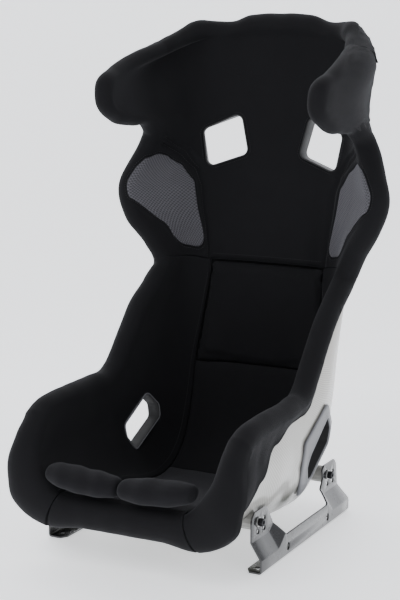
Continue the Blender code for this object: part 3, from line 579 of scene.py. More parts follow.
def ribbed_fabric():
    """Black fabric with fine ribs that run front to back."""
    n = Nodes("ribbed_fabric")
    split = n.add("ShaderNodeSeparateXYZ", Vector=n.place)
    rib = n.math('SINE', n.math('MULTIPLY', split.outputs["X"], 2 * math.pi / 0.0042))
    knit = n.math('SINE', n.math('MULTIPLY', split.outputs["Y"], 2 * math.pi / 0.0016))
    rib01 = n.math('ADD', n.math('MULTIPLY', rib, 0.5), 0.5)
    grain = n.noise(1900, 2, 0.6)
    colour = n.ramp(rib01, (0.0016, 0.0016, 0.0024), (0.020, 0.020, 0.025), 0.15, 0.95)
    n.put(Base_Color=colour, Roughness=0.85, Sheen_Weight=0.05, Sheen_Roughness=0.4,
          Sheen_Tint=(0.7, 0.7, 0.8, 1))
    height = n.math('ADD', rib01, n.math('MULTIPLY', n.math('ADD', knit, grain), 0.18))
    n.bump(height, 0.0012, 0.8)
    return n.mat


def shell_composite():
    """Grey glass-fibre weave under clear gelcoat, with a painted brown reflection up the back and
    darker olive towards the bottom.
    """
    n = Nodes("shell_composite")
    uv = n.add("ShaderNodeUVMap")
    uv.uv_map = "fabric"
    split = n.add("ShaderNodeSeparateXYZ", Vector=uv.outputs["UV"])
    where = n.add("ShaderNodeSeparateXYZ", Vector=n.place)
    u, v = split.outputs["X"], split.outputs["Y"]
    warp = n.math('SINE', n.math('MULTIPLY', u, math.pi / 0.0026))
    weft = n.math('SINE', n.math('MULTIPLY', v, math.pi / 0.0026))
    cell = n.math('ADD', n.math('MULTIPLY', n.math('MULTIPLY', warp, weft), 0.5), 0.5)
    strand = n.noise(900, 3, 0.6)
    cloud = n.noise(9, 3, 0.5)
    colour = n.ramp(cell, (0.285, 0.278, 0.255), (0.52, 0.512, 0.485), 0.30, 0.70)
    colour = n.mix(n.math('MULTIPLY', strand, 0.35), colour, (0.60, 0.59, 0.56))
    colour = n.mix(n.math('MULTIPLY', cloud, 0.30), colour, (0.36, 0.35, 0.31))
    # Painted reflection: from z 0.17 to 0.36 the weave turns brown, standing in for the beige
    # reflection up the back.
    rise = n.add("ShaderNodeMapRange", Value=where.outputs["Z"])
    rise.inputs["From Min"].default_value = 0.17
    rise.inputs["From Max"].default_value = 0.36
    painted_reflection_brown = n.ramp(cell, (0.125, 0.100, 0.070), (0.27, 0.225, 0.165), 0.30, 0.70)
    colour = n.mix(n.math('MULTIPLY', rise.outputs["Result"], 0.80), colour, painted_reflection_brown)
    # Darker olive towards the bottom, below z 0.098.
    low = n.add("ShaderNodeMapRange", Value=where.outputs["Z"])
    low.inputs["From Min"].default_value = 0.098
    low.inputs["From Max"].default_value = 0.076
    olive = n.ramp(cell, (0.030, 0.032, 0.022), (0.125, 0.128, 0.092), 0.25, 0.75)
    colour = n.mix(low.outputs["Result"], colour, olive)
    n.put(Base_Color=colour, Roughness=0.38, Metallic=0.12, Coat_Weight=0.8,
          Coat_Roughness=0.10)
    n.bump(n.math('ADD', n.math('MULTIPLY', cell, 0.5), n.math('MULTIPLY', strand, 0.25)),
           0.0003, 0.5)
    return n.mat


def moulded(name, colour, roughness, grain=900, depth=0.0002, metallic=0.0, coat=0.0):
    """Moulded plastic or plain coating with a fine surface grain."""
    n = Nodes(name)
    fine = n.noise(grain, 3, 0.6)
    broad = n.noise(30, 3, 0.5)
    tone = n.ramp(broad, [c * 0.88 for c in colour], [c * 1.10 for c in colour], 0.3, 0.7)
    rough = n.math('ADD', n.math('MULTIPLY', broad, 0.14), roughness - 0.07)
    n.put(Base_Color=tone, Roughness=rough, Metallic=metallic, Coat_Weight=coat,
          Coat_Roughness=0.08)
    n.bump(fine, depth, 0.5)
    return n.mat


def powder_coat():
    """Gloss black powder coat with orange peel, lighter grey on its sharp edges."""
    n = Nodes("bracket_powder_coat")
    peel = n.noise(330, 2, 0.5)
    dust = n.noise(60, 4, 0.6)
    edge = n.add("ShaderNodeNewGeometry").outputs["Pointiness"]
    # Lighter grey where the surface is sharply convex.
    sharp_edge_lightening = n.ramp(edge, (0, 0, 0), (1, 1, 1), 0.54, 0.62)
    colour = n.mix(n.math('MULTIPLY', sharp_edge_lightening, 0.35), (0.0065, 0.0065, 0.008), (0.05, 0.05, 0.052))
    n.put(Base_Color=colour, Roughness=n.math('ADD', n.math('MULTIPLY', dust, 0.12), 0.20),
          Coat_Weight=0.7, Coat_Roughness=0.12, Specular_IOR_Level=0.6)
    n.bump(peel, 0.0004, 0.30)
    return n.mat


def machined(name, colour, roughness):
    """Turned steel with fine scratches round its axis."""
    n = Nodes(name)
    scratch = n.noise(1400, 4, 0.7)
    stain = n.noise(140, 3, 0.6)
    tone = n.ramp(stain, [c * 0.7 for c in colour], [c * 1.15 for c in colour], 0.3, 0.75)
    n.put(Base_Color=tone, Metallic=0.95,
          Roughness=n.math('ADD', n.math('MULTIPLY', scratch, 0.25), roughness - 0.1))
    n.bump(scratch, 0.00015, 0.4)
    return n.mat


def hook_material():
    """Hook tape: rows of tiny stiff loops."""
    n = Nodes("hook_tape")
    split = n.add("ShaderNodeSeparateXYZ", Vector=n.place)
    rows = n.math('MULTIPLY', n.math('SINE', n.math('MULTIPLY', split.outputs["X"], 3600)),
                  n.math('SINE', n.math('MULTIPLY', split.outputs["Y"], 3600)))
    bristle = n.noise(2200, 2, 0.7)
    height = n.math('ADD', rows, bristle)
    colour = n.ramp(height, (0.004, 0.004, 0.004), (0.035, 0.035, 0.037), 0.2, 0.9)
    n.put(Base_Color=colour, Roughness=0.8, Specular_IOR_Level=0.3)
    n.bump(height, 0.0008, 0.8)
    return n.mat


# ---------------------------------------------------------------- patches of the seat
def round_over(distance, radius, drop):
    """Depth of a rounded edge: drop at the edge, nothing past the radius."""
    u = np.clip(distance / radius, 0.0, 1.0)
    return drop * (1 - np.sqrt(1 - (1 - u) ** 2))


def denser(low, high, step, near=()):
    """Even steps from low to high, with extra values just inside the ends named in near."""
    values = list(np.linspace(low, high, max(2, int(round((high - low) / step)) + 1)))
    for share in (0.12, 0.3, 0.6):
        if 'low' in near:
            values.append(low + step * share)
        if 'high' in near:
            values.append(high - step * share)
    return np.array(sorted(values))


def both_sides(values):
    """The values and their negatives, in order."""
    values = np.asarray(values)
    return np.concatenate((-values[::-1][:-1] if values[0] == 0 else -values[::-1], values))


def skirt_reach(s):
    """How far, as a share of t, the rim's fabric runs down the outside."""
    return smooth_step(s, [(0.0, 0.50), (1.0, 0.46), (2.0, 0.27), (3.0, 0.14), (4.0, 0.06),
                           (12.0, 0.06), (14.0, 0.12), (18.0, 0.14), (20.5, 0.42),
                           (27.0, 0.42), (LAST, 0.30)])


def shrink(s, t, share):
    """Parameter points a share of the way in from the perimeter."""
    a = np.abs(t)
    reach = skirt_reach(s) * share * smooth_step(a, [(0.30, 0.0), (0.80, 1.0)])
    lead = 1.6
    inner = np.where(s > LAST - lead, s - (s - (LAST - lead)) * share, s)
    inner = np.where(s < lead, inner + (lead - s) * share * 0.6, inner)
    return inner, np.sign(t) * a * (1 - reach)


def roll_radius(s, t):
    """Half thickness of the padded rim, fullest at the front corners and the head."""
    a = np.abs(t)
    front = smooth_step(a, [(0.34, LIP_ROLL), (0.50, 0.039), (0.60, 0.041), (0.72, 0.033),
                            (0.84, 0.0245), (1.0, 0.0215)])
    rest = smooth_step(s, [(0.0, 0.0215), (2.0, ROLL), (18.0, ROLL), (21.0, 0.0175),
                           (25.0, 0.0175), (27.0, 0.0140), (LAST, 0.0135)])
    top = smooth_step(a, [(0.45, 0.0215), (0.85, 0.0150), (1.0, 0.0135)])
    return np.where(s < 0.001, front, np.where(s > LAST - 0.001, top, rest))


def soften(values, run, reach):
    """Moving average of row values over a distance along the path."""
    near = np.exp(-((run[:, None] - run[None, :]) / reach) ** 2)
    near /= near.sum(axis=1)[:, None]
    return near @ values


def run_on(s, t, count=14):
    """Path with extra perimeter points before and after it, for smooth frames at its ends."""
    ahead = np.arange(1, count + 1)[:, None] * np.array((0.09, 0.017))
    path = np.column_stack((s, t))
    before = path[0] - np.sign(path[1] - path[0]) * ahead[::-1]
    after = path[-1] + np.sign(path[-1] - path[-2]) * ahead
    path = np.vstack((before, path, after))
    return path[:, 0], path[:, 1]


def rim_frame(s, t):
    """Along a stretch of perimeter: its points, outward and inward directions, and radius."""
    count = 14
    s, t = run_on(s, t, count)
    here = face_point(s, t)
    run = np.concatenate(([0], np.cumsum(np.linalg.norm(np.diff(here, axis=0), axis=1))))
    along = np.gradient(here, axis=0)
    along /= np.linalg.norm(along, axis=1)[:, None]
    normal = face_normal(s, t)
    out = np.cross(along, normal)
    inward = here - face_point(*shrink(s, t, 0.3))
    out *= np.sign((out * inward).sum(axis=1))[:, None]
    out = soften(out, run, 0.016)
    normal = soften(normal, run, 0.012)
    out -= normal * (out * normal).sum(axis=1)[:, None]
    out /= np.linalg.norm(out, axis=1)[:, None]
    normal /= np.linalg.norm(normal, axis=1)[:, None]
    radius = soften(roll_radius(s, t), run, 0.010)
    keep_in = slice(count, -count)
    return here[keep_in], out[keep_in], normal[keep_in], radius[keep_in]


def rim_strips(s, t):
    """Rows of points over the padded rim, from the face round to the pad's back."""
    here, out, normal, radius = rim_frame(s, t)
    reach = np.minimum(radius, 0.024)
    wrinkle = 1 + 0.025 * ripple(here, 60.0)
    columns = []
    for angle in np.radians((10, 22, 35, 48, 62, 76, 90, 104, 118, 132, 145, 156)):
        columns.append(here + out * (reach * wrinkle * math.sin(angle))[:, None]
                       + normal * (radius * (1 - math.cos(angle)))[:, None])
    hem = SKIRT_IN + 0.005
    shares = np.linspace(0, 1, 9)
    for share in shares:
        depth = hem + (2 * radius - hem) * (1 - share) ** 0.8
        depth = depth + (0.0022 if share > 0.99 else 0.0) + 0.0005 * ripple(here, 85.0, share * 3)
        columns.append(deep(*shrink(s, t, share), depth))
    for share in shares[::-1]:
        inner_s, inner_t = shrink(s, t, share)
        slack = smooth_step(inner_s, [(0.8, 0.0022), (2.2, 0.0)])
        columns.append(deep(inner_s, inner_t, SKIRT_IN + slack))
    columns.append(here + out * 0.0012 + normal * SKIRT_IN)
    columns.append(here + out * 0.0012 + normal * PAD_BACK)
    return np.stack(columns, axis=1)


def skin(s, t, n):
    """Like deep, but t past 1 runs on over the padded rim of the sides."""
    s = np.asarray(s, float)
    t = np.asarray(t, float)
    flat = deep(s, np.clip(t, -1, 1), n)
    over = np.clip(np.abs(t) - 1, 0, None) * T_SPAN
    steps = np.linspace(s.min() - 0.5, s.max() + 0.5, 160)
    rim = rim_frame(steps, np.full(160, float(np.sign(t.flat[0]))))
    table = [np.stack([np.interp(s, steps, part[:, k]) for k in range(3)], axis=-1)
             for part in rim[:3]]
    radius = np.interp(s, steps, rim[3])
    angle = over / radius
    high = radius - n
    rolled = (table[0] + table[1] * (high * np.sin(angle))[..., None]
              + table[2] * (radius - high * np.cos(angle))[..., None])
    return np.where((over > 0)[..., None], rolled, flat)


def border_walks(rows, cols):
    """Index pairs along each side of a grid, in walking order."""
    return {
        'bottom': [(0, j) for j in range(cols)],
        'right': [(i, cols - 1) for i in range(rows)],
        'top': [(rows - 1, j) for j in reversed(range(cols))],
        'left': [(i, 0) for i in reversed(range(rows))],
    }


def patch(name, s_list, t_list, mat, front, back=PAD_BACK, rims=(), tuck=None, shade_lining=None):
    """Closed pad over a rectangle of (s, t), with the padded roll on the named sides."""
    s_list, t_list = np.asarray(s_list), np.asarray(t_list)
    rows, cols = len(s_list), len(t_list)
    s, t = np.meshgrid(s_list, t_list, indexing='ij')
    face = deep(s, t, front(s, t))
    back_s, back_t = tuck(s, t) if tuck else (s, t)
    rear = deep(back_s, back_t, back)
    count = rows * cols
    verts = list(face.reshape(-1, 3)) + list(rear.reshape(-1, 3))
    uv = np.stack((t * T_SPAN, s * S_SPAN), axis=-1).reshape(-1, 2)
    uv = list(uv) + list(uv)
    faces = grid_quads(rows, cols) + [tuple(reversed(f)) for f in grid_quads(rows, cols, count)]
    walks = border_walks(rows, cols)
    for side, walk in walks.items():
        if side in rims:
            continue
        for (i, j), (k, m) in zip(walk, walk[1:]):
            a, b = i * cols + j, k * cols + m
            faces.append((a, b, b + count, a + count))
    if rims:
        walk = list(walks[rims[0]])
        for side in rims[1:]:
            walk += walks[side][1:]
        path_s = np.array([s_list[i] for i, j in walk])
        path_t = np.array([t_list[j] for i, j in walk])
        strips = rim_strips(path_s, path_t)
        wide = strips.shape[1]
        base = len(verts)
        verts += list(strips.reshape(-1, 3))
        for k in range(len(walk)):
            for m in range(wide):
                uv.append((path_t[k] * T_SPAN + 0.004 * m, path_s[k] * S_SPAN))
        faces += grid_quads(len(walk), wide, base)
        for k in range(len(walk) - 1):
            (i, j), (p, q) = walk[k], walk[k + 1]
            a, b = i * cols + j, p * cols + q
            first, second = base + k * wide, base + (k + 1) * wide
            faces.append((a, first, second, b))
            faces.append((a + count, b + count, second + wide - 1, first + wide - 1))
        for k in (0, len(walk) - 1):
            i, j = walk[k]
            start = base + k * wide
            faces.append((i * cols + j, *range(start, start + wide), i * cols + j + count))
    return new_object(name, verts, faces, mat, 60, uv, shade_lining, (rows - 1) * (cols - 1))


def through(outline, axes, guess, depths, sign, steps=6):
    """Rings along the seat's normal, one for each (growth, depth)."""
    move = np.array([SHIFT_Y if axis == 1 else 0.0 for axis in axes])
    places = {}
    rings = []
    for grow, depth in depths:
        if grow not in places:
            s, t = guess
            found = []
            for p in rounded(outline, SLOT_RADIUS, steps, grow):
                s, t = locate(p + move, axes, s, t)
                found.append((s, t))
            places[grow] = np.array(found)
        found = places[grow]
        rings.append(deep(found[:, 0], sign * found[:, 1], depth))
    return rings


def drill(objects, outline, axes, guess, levels, sign, mat):
    """Cut one strap opening through the given pieces."""
    for obj in objects:
        rings = through(outline, axes, guess, [(0.0026, level) for level in levels], sign)
        cut(obj, loft("hole", rings, mat))


INSERT_OUTLINE = []


def insert_outline():
    """Rounded outline of a shoulder insert as (t, s) points."""
    if not INSERT_OUTLINE:
        corners = [(t * 4, s) for t, s in MESH_INSERT]
        INSERT_OUTLINE.extend((p[0] / 4, p[1]) for p in rounded(corners, 0.42, 6))
    return INSERT_OUTLINE


def upper_depth(s, t):
    """Face of the upper cover: swell over the lumbar pad, folded seams, inserts' beds."""
    a = np.abs(t)
    swell = smooth_step(s, [(WAIST_S, 0.010), (WAIST_S + 2.5, 0.003), (WAIST_S + 4, 0.0)])
    depth = -swell * smooth_step(a, [(0.0, 1.0), (0.28, 1.0), (PAD_T, 0.0)])
    edge = (s - WAIST_S - S_GAP) * S_SPAN
    middle = smooth_step(a, [(PAD_T - 0.02, 1.0), (PAD_T + 0.02, 0.15)])
    depth += round_over(edge, 0.009, 0.009) * middle
    for line, width, drop in ((SHOULDER_SEAM, 0.0055, 0.0034), (NECK_SEAM, 0.0070, 0.0030)):
        d = line_distance(s, t, line)
        depth += drop * np.exp(-(d / width) ** 2) - 0.0010 * np.exp(-((d - 0.012) / 0.008) ** 2)
    outline = insert_outline()
    d = line_distance(s, t, outline, closed=True)
    within = np.where(inside(s, t, outline), 1.0, -1.0) * d
    depth += 0.0026 * smooth_step(within, [(-0.0018, 0.0), (0.0012, 1.0)])
    depth -= 0.0012 * np.exp(-((within + 0.006) / 0.004) ** 2)
    points = face_point(s, t)
    calm = smooth_step(edge, [(0.0, 0.0), (0.03, 1.0)])
    return depth + 0.0007 * calm * ripple(points, 22.0)


def bolster_depth(s, t):
    """Face of a bolster cover, rounded over at its seams and slightly uneven."""
    a = np.abs(t)
    depth = round_over((a - PAD_T - T_GAP) * T_SPAN, 0.006, 0.0035)
    depth += round_over((WAIST_S - S_GAP - s) * S_SPAN, 0.009, 0.00135)
    return depth + 0.0009 * ripple(face_point(s, t), 20.0)


def lip_depth(s, t):
    """Face of the front lip cover."""
    return 0.0004 * ripple(face_point(s, t), 30.0)


def crowned(s_low, s_high, height, edge=0.012, drop=0.005):
    """Depth of a pad's face: rounded edges and a swell towards the middle."""
    def face(s, t):
        from_side = (PAD_T - T_GAP - np.abs(t)) * T_SPAN
        from_end = np.minimum(s - s_low, s_high - s) * S_SPAN
        side = np.clip(from_side / 0.035, 0, 1)
        end = np.clip(from_end / 0.035, 0, 1)
        depth = -height * np.sqrt(side * end)
        depth = depth + round_over(from_side, edge, drop) + round_over(from_end, edge, drop)
        return depth + 0.0006 * ripple(face_point(s, t), 26.0)
    return face


def inflate(obj, sideways, proud, direction, pressure=4.0, voxel=0.005):
    """Swell a closed pad with cloth simulation, within caps along and across direction."""
    mod = obj.modifiers.new("remesh", 'REMESH')
    mod.mode = 'VOXEL'
    mod.voxel_size = voxel
    mod.use_smooth_shade = True
    bake(obj)
    rest = np.array([v.co[:] for v in obj.data.vertices])
    cloth = obj.modifiers.new("cloth", 'CLOTH')
    cloth.settings.use_pressure = True
    cloth.settings.uniform_pressure_force = pressure
    cloth.settings.effector_weights.gravity = 0.0
    cloth.settings.tension_stiffness = 20
    cloth.settings.compression_stiffness = 20
    cloth.settings.bending_stiffness = 0.6
    scene = bpy.context.scene
    for f in range(1, 21):
        scene.frame_set(f)
    bake(obj)
    scene.frame_set(1)
    moved = np.array([v.co[:] for v in obj.data.vertices])
    if len(moved) == len(rest):
        direction = np.asarray(direction, float) / np.linalg.norm(direction)
        shift = moved - rest
        along = shift @ direction
        across = shift - along[:, None] * direction
        along = np.clip(along, -0.0004, proud)
        size = np.linalg.norm(across, axis=1)
        across *= np.where(size > sideways, sideways / np.maximum(size, 1e-9), 1)[:, None]
        for v, p in zip(obj.data.vertices, rest + along[:, None] * direction + across):
            v.co = Vector(p)
    sub = obj.modifiers.new("sub", 'SUBSURF')
    sub.levels = 1
    sub.render_levels = 1
    bake(obj)
    obj.data.shade_smooth()


# ---------------------------------------------------------------- pieces
VELOUR = velour("velour")
LOW_VELOUR = velour("velour_rolls", (0.0062, 0.0062, 0.0074), 0.12)
SPACER = spacer_mesh()
RIBBED = ribbed_fabric()
COMPOSITE = shell_composite()
BEZEL = moulded("bezel_plastic", (0.16, 0.163, 0.175), 0.42, 1100, 0.0003)
BINDING = moulded("slot_binding", (0.012, 0.012, 0.013), 0.55, 1500, 0.0004)
THREAD = moulded("thread", (0.011, 0.011, 0.013), 0.7, 2500, 0.0002)
COATED = powder_coat()
BOLT = machined("black_bolt", (0.035, 0.035, 0.038), 0.38)
STEEL = machined("plain_steel", (0.46, 0.46, 0.45), 0.36)
HOOK = hook_material()
# Painted shade: a near-black liner on the shell's inner face and inside the lap openings, where
# the real glass fibre shows only in shade.
SHADE_LINER = moulded("shell_painted_shade", (0.006, 0.006, 0.007), 0.8, 500, 0.0005)
MOULDED_BOSS = moulded("boss_resin", (0.34, 0.335, 0.315), 0.35, 700, 0.0002, coat=0.5)


def keep(obj, body, nodes=()):
    """Hide the CAD nodes that a finished piece stands for, and attach the piece to its body."""
    if nodes:
        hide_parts(*nodes)
    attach(obj, body)
    return obj


def make_shell():
    """Glass-fibre shell over the whole face; its strap openings are cut into it later."""
    s_list = np.linspace(0.0, LAST, 225)
    t_list = both_sides(np.linspace(0.0, 1.0, 61))
    # The inner face gets the near-black liner, painted shade for the gaps between the pads.
    return patch("shell_skin", s_list, t_list, COMPOSITE, lambda s, t: SHELL_IN, SHELL_OUT,
                 shade_lining=SHADE_LINER)


def make_upper_cover():
    """Padded cover over back, shoulders and head, with its rolled rim."""
    s_list = denser(WAIST_S + S_GAP, LAST, 0.085, ('low',))
    t_list = both_sides(np.linspace(0.0, 1.0, 76))
    return patch("upper_cover_skin", s_list, t_list, VELOUR, upper_depth,
                 rims=('right', 'top', 'left'))


def make_bolster_covers():
    """The two side covers, from the waist to the front corners."""
    s_list = denser(0.0, WAIST_S - S_GAP, 0.10, ('high',))
    t_list = denser(PAD_T + T_GAP, 1.0, 0.017, ('low',))
    left = patch("bolster_skin_left", s_list, t_list, VELOUR, bolster_depth,
                 rims=('bottom', 'right'))
    right = patch("bolster_skin_right", s_list, -t_list[::-1], VELOUR, bolster_depth,
                  rims=('left', 'bottom'))
    return left, right


def make_lip_cover():
    """Padded cover of the front lip."""
    edge = PAD_T - T_GAP
    t_list = np.linspace(-edge, edge, 71)
    return patch("front_lip_skin", denser(0.0, LIP_S, 0.06), t_list, VELOUR, lip_depth,
                 rims=('bottom',))


def make_centre_pads():
    """Lumbar, lower back and seat pads between the bolsters."""
    edge = PAD_T - T_GAP
    t_list = denser(-edge, edge, 0.017, ('low', 'high'))

    def draw_in(s_mid, s_share, t_share):
        return lambda s, t: (s_mid + (s - s_mid) * s_share, t * t_share)

    lumbar = patch("lumbar_cushion", denser(SEAM_S + S_GAP, WAIST_S - 3 * S_GAP, 0.09,
                                            ('low', 'high')), t_list, VELOUR,
                   crowned(SEAM_S, WAIST_S, 0.0035), PAD_FREE,
                   tuck=draw_in((SEAM_S + WAIST_S) / 2, 0.97, 0.86))
    inflate(lumbar, 0.0006, 0.004, (0, -0.99, 0.12))
    lower = patch("lower_back_cushion", denser(HIP_S + S_GAP, SEAM_S - S_GAP, 0.11,
                                               ('low', 'high')), t_list, VELOUR,
                  crowned(HIP_S, SEAM_S, 0.003))
    seat = patch("seat_cushion", denser(LIP_S + 2 * S_GAP, HIP_S - 3 * S_GAP, 0.11,
                                        ('low', 'high')), t_list, RIBBED,
                 crowned(LIP_S, HIP_S, 0.0, 0.010, 0.004), PAD_FREE,
                 tuck=draw_in(2.2, 0.86, 0.70))
    return lumbar, lower, seat


def make_thigh_roll(side, sign):
    """Soft roll with gathered ends, fuller towards the middle of the seat."""
    low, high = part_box("thigh_roll_" + side)
    x0, x1 = sorted((abs(low[0]), abs(high[0])))
    centre = ((low[1] + high[1]) / 2, (low[2] + high[2]) / 2)
    half = ((high[1] - low[1]) / 2 - 0.0015, (high[2] - low[2]) / 2 - 0.0055)
    rings = []
    count = 44
    for i in range(count + 1):
        u = i / count
        x = x0 + (x1 - x0) * (1 - math.cos(math.pi * u)) / 2
        size = max(math.sin(math.pi * u) ** 0.35, 0.12)
        rise = 0.010 * (x / x1) ** 2 - 0.005
        ring = []
        for k in range(48):
            a = 2 * math.pi * k / 48
            gather = 1 + 0.030 * (1 - size) * math.cos(9 * a) + 0.012 * math.sin(7 * u * math.pi)
            ring.append((sign * x, centre[0] + half[0] * size * gather * math.cos(a),
                         centre[1] + rise + half[1] * size * gather * math.sin(a)))
        rings.append(ring)
    roll = loft("thigh_roll_skin_" + side, rings, LOW_VELOUR, smooth=180)
    inflate(roll, 0.003, 0.003, (0, -0.4, 0.9), voxel=0.004)
    points = np.array([v.co[:] for v in roll.data.vertices])
    fold = 0.0012 * ripple(points * np.array((1.0, 0.5, 0.5)), 70.0, 1.0 + sign)
    middle = np.array((sign * (x0 + x1) / 2, centre[0], centre[1]))
    away = points - middle
    away[:, 0] = 0
    away /= np.maximum(np.linalg.norm(away, axis=1), 1e-6)[:, None]
    for v, p in zip(roll.data.vertices, points + away * fold[:, None]):
        v.co = Vector(p)
    return roll


def make_insert(side, sign):
    """Spacer-mesh panel at the shoulder, its bound edge and its stitches."""
    corners = insert_outline()
    metric = [(a * T_SPAN, b * S_SPAN) for a, b in corners + corners[:1]]
    dense = spaced(metric, 0.004)[:-1] / (T_SPAN, S_SPAN)
    middle = dense.mean(axis=0)
    verts = []
    uv = []
    shares = np.linspace(0.0, 1.0, 27)[1:]
    for share in shares:
        p = middle + (dense - middle) * share
        crown = -0.0008 - 0.0016 * math.sqrt(1 - share ** 4)
        verts += list(skin(p[:, 1], sign * p[:, 0], crown))
        uv += [(a * T_SPAN, b * S_SPAN) for a, b in p]
    count = len(dense)
    faces = grid_quads(len(shares), count, wrap=True)
    verts.append(deep(middle[1], sign * middle[0], -0.0024))
    uv.append((middle[0] * T_SPAN, middle[1] * S_SPAN))
    faces += [(len(verts) - 1, k, (k + 1) % count) for k in range(count)]
    panel = new_object("mesh_panel_" + side, verts, faces, SPACER, 180, uv)
    solid = panel.modifiers.new("thick", 'SOLIDIFY')
    solid.thickness = 0.0020
    solid.offset = 0
    bake(panel)
    keep(panel, "seat", ["shoulder_mesh_" + side])
    edge = skin(dense[:, 1], sign * dense[:, 0], -0.0008)
    keep(tube("mesh_edge_" + side, edge, 0.0012, VELOUR, 8, closed=True), "seat")
    out = middle + (dense - middle) * 1.05
    line = skin(out[:, 1], sign * out[:, 0], -0.0010)
    keep(stitches("mesh_stitches_" + side, line, THREAD), "seat")


def make_slot_edges(side, sign):
    """Bound edge of a shoulder slot, on the face and behind the shell."""
    axes, guess = [0, 2], (18.0, 0.2)
    levels = [(0.0, -0.0008), (0.0004, -0.0016), (0.0013, -0.0020), (0.0024, -0.0016),
              (0.0027, -0.0006), (0.0025, 0.006), (0.0025, 0.0242), (0.0020, 0.0250),
              (0.0006, 0.0250), (0.0, 0.0244)]
    rings = through(SHOULDER_SLOT, axes, guess, levels, sign)
    trim = loft("slot_edge_" + side, rings, BINDING, closed=True, smooth=60)
    keep(trim, "seat", ["shoulder_slot_trim_" + side])
    line = through(SHOULDER_SLOT, axes, guess, [(0.0065, -0.0004)], sign)[0]
    line = np.vstack((line, line[:1]))
    keep(stitches("slot_stitches_" + side, line, THREAD), "seat")


def make_bezel(side, sign):
    """Grey moulded bezel of a lap strap opening: flange, rounded lip and sleeve."""
    axes, guess = [1, 2], (7.0, 0.7)
    seat = SHELL_OUT + 0.0026
    inner = np.array(LAP_SLOT)
    outer = np.array(LAP_BEZEL)
    rings = []
    for grow, depth in ((0.0, -0.0008), (0.0008, -0.0014), (0.0020, -0.0012), (0.0025, -0.0002),
                        (0.0025, seat)):
        rings += through(inner, axes, guess, [(grow, depth)], sign)
    for share in (0.25, 0.5, 0.75):
        rings += through(inner + (outer - inner) * share, axes, guess, [(0.0, seat)], sign)
    for grow, depth in ((0.0, seat - 0.0010), (0.0004, seat + 0.0006), (-0.0004, seat + 0.0020),
                        (-0.0016, seat + 0.0027)):
        rings += through(outer, axes, guess, [(grow, depth)], sign)
    for share, rise in ((0.8, 0.0030), (0.5, 0.0031), (0.28, 0.0033)):
        rings += through(inner + (outer - inner) * share, axes, guess, [(0.0, seat + rise)],
                         sign)
    for grow, depth in ((0.0036, seat + 0.0040), (0.0022, seat + 0.0046),
                        (0.0008, seat + 0.0040), (0.0, seat + 0.0026)):
        rings += through(inner, axes, guess, [(grow, depth)], sign)
    bezel = loft("lap_bezel_" + side, rings, BEZEL, closed=True, smooth=50)
    keep(bezel, "seat", ["lap_slot_bezel_" + side])
    # Near-black lining inside the opening: painted shade in the tunnel.
    levels = [(-0.0001, -0.0012), (-0.0005, -0.0006), (-0.0005, 0.010), (-0.0005, seat + 0.0015)]
    shade_lining = through(inner, axes, guess, levels, sign)
    verts = [p for ring in shade_lining for p in ring]
    quads = grid_quads(len(shade_lining), len(shade_lining[0]), wrap=True)
    sleeve = new_object("lap_lining_" + side, verts, quads, SHADE_LINER, 60)
    keep(sleeve, "seat")


def make_crotch_edge():
    """Bound edge of the crotch strap opening."""
    axes, guess = [0, 1], (2.0, 0.0)
    levels = [(0.0, 0.0170), (0.0006, 0.0164), (0.0019, 0.0164), (0.0025, 0.0170),
              (0.0025, 0.0242), (0.0019, 0.0248), (0.0006, 0.0248), (0.0, 0.0242)]
    rings = through(CROTCH_SLOT, axes, guess, levels, 1)
    trim = loft("crotch_edge", rings, BINDING, closed=True, smooth=60)
    keep(trim, "seat", ["crotch_slot_trim"])


def make_seam_stitches():
    """Top stitching beside the folded seams, along the inner seams of the bolsters and across the
    waist.
    """
    for side, sign in (("left", 1), ("right", -1)):
        for name, line, shift in (("shoulder", SHOULDER_SEAM, 0.030), ("neck", NECK_SEAM, 0.030)):
            path = np.array(line)
            path = spaced(np.column_stack((path[:, 0] * T_SPAN, path[:, 1] * S_SPAN)), 0.004)
            t, s = path[:, 0] / T_SPAN + shift, path[:, 1] / S_SPAN
            ok = (t < 0.97) & ~inside(s, t, insert_outline())
            t, s = t[ok], s[ok]
            depth = upper_depth(s, t) - 0.0001
            keep(stitches(f"{name}_stitches_{side}", deep(s, sign * t, depth), THREAD),
                 "seat")
        s = np.linspace(0.05, WAIST_S - 0.3, 300)
        t = np.full(300, sign * (PAD_T + 0.030))
        line = deep(s, t, bolster_depth(s, t) - 0.0001)
        keep(stitches("bolster_stitches_" + side, line, THREAD), "seat")
    t = np.linspace(-PAD_T + 0.02, PAD_T - 0.02, 120)
    s = np.full(120, WAIST_S + 0.22)
    keep(stitches("waist_stitches", deep(s, t, upper_depth(s, t) - 0.0001), THREAD),
         "seat")


def make_tapes():
    """Hook tapes: the CAD strips with a bristly material."""
    for name in ("lumbar_hook_tape", "seat_hook_tape_front", "seat_hook_tape_rear"):
        dress(name, HOOK)


def dress(node, mat):
    """Give a CAD node that stays visible its procedural material."""
    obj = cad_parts[node]
    obj.data.materials.clear()
    obj.data.materials.append(mat)
    return obj


# ---------------------------------------------------------------- brackets and fixings
EAR_X = 0.186
WEB_X = 0.204
PLATE = 0.003
FOOT_X = 0.172
BRACKET_Y = (-0.187, 0.186)
BOLT_Y = (-0.163, 0.127)
BOLT_Z = 0.081
FOOT_HOLE_Y = (-0.166, -0.127, 0.127, 0.166)


def joggle(y):
    """Heights between which the bracket leans inward, at y."""
    start = float(smooth_step(y, [(-0.124, 0.0235), (-0.088, 0.043)]))
    if y > 0:
        start = float(smooth_step(y, [(0.083, 0.043), (0.113, 0.0225)]))
    return start, start + 0.028


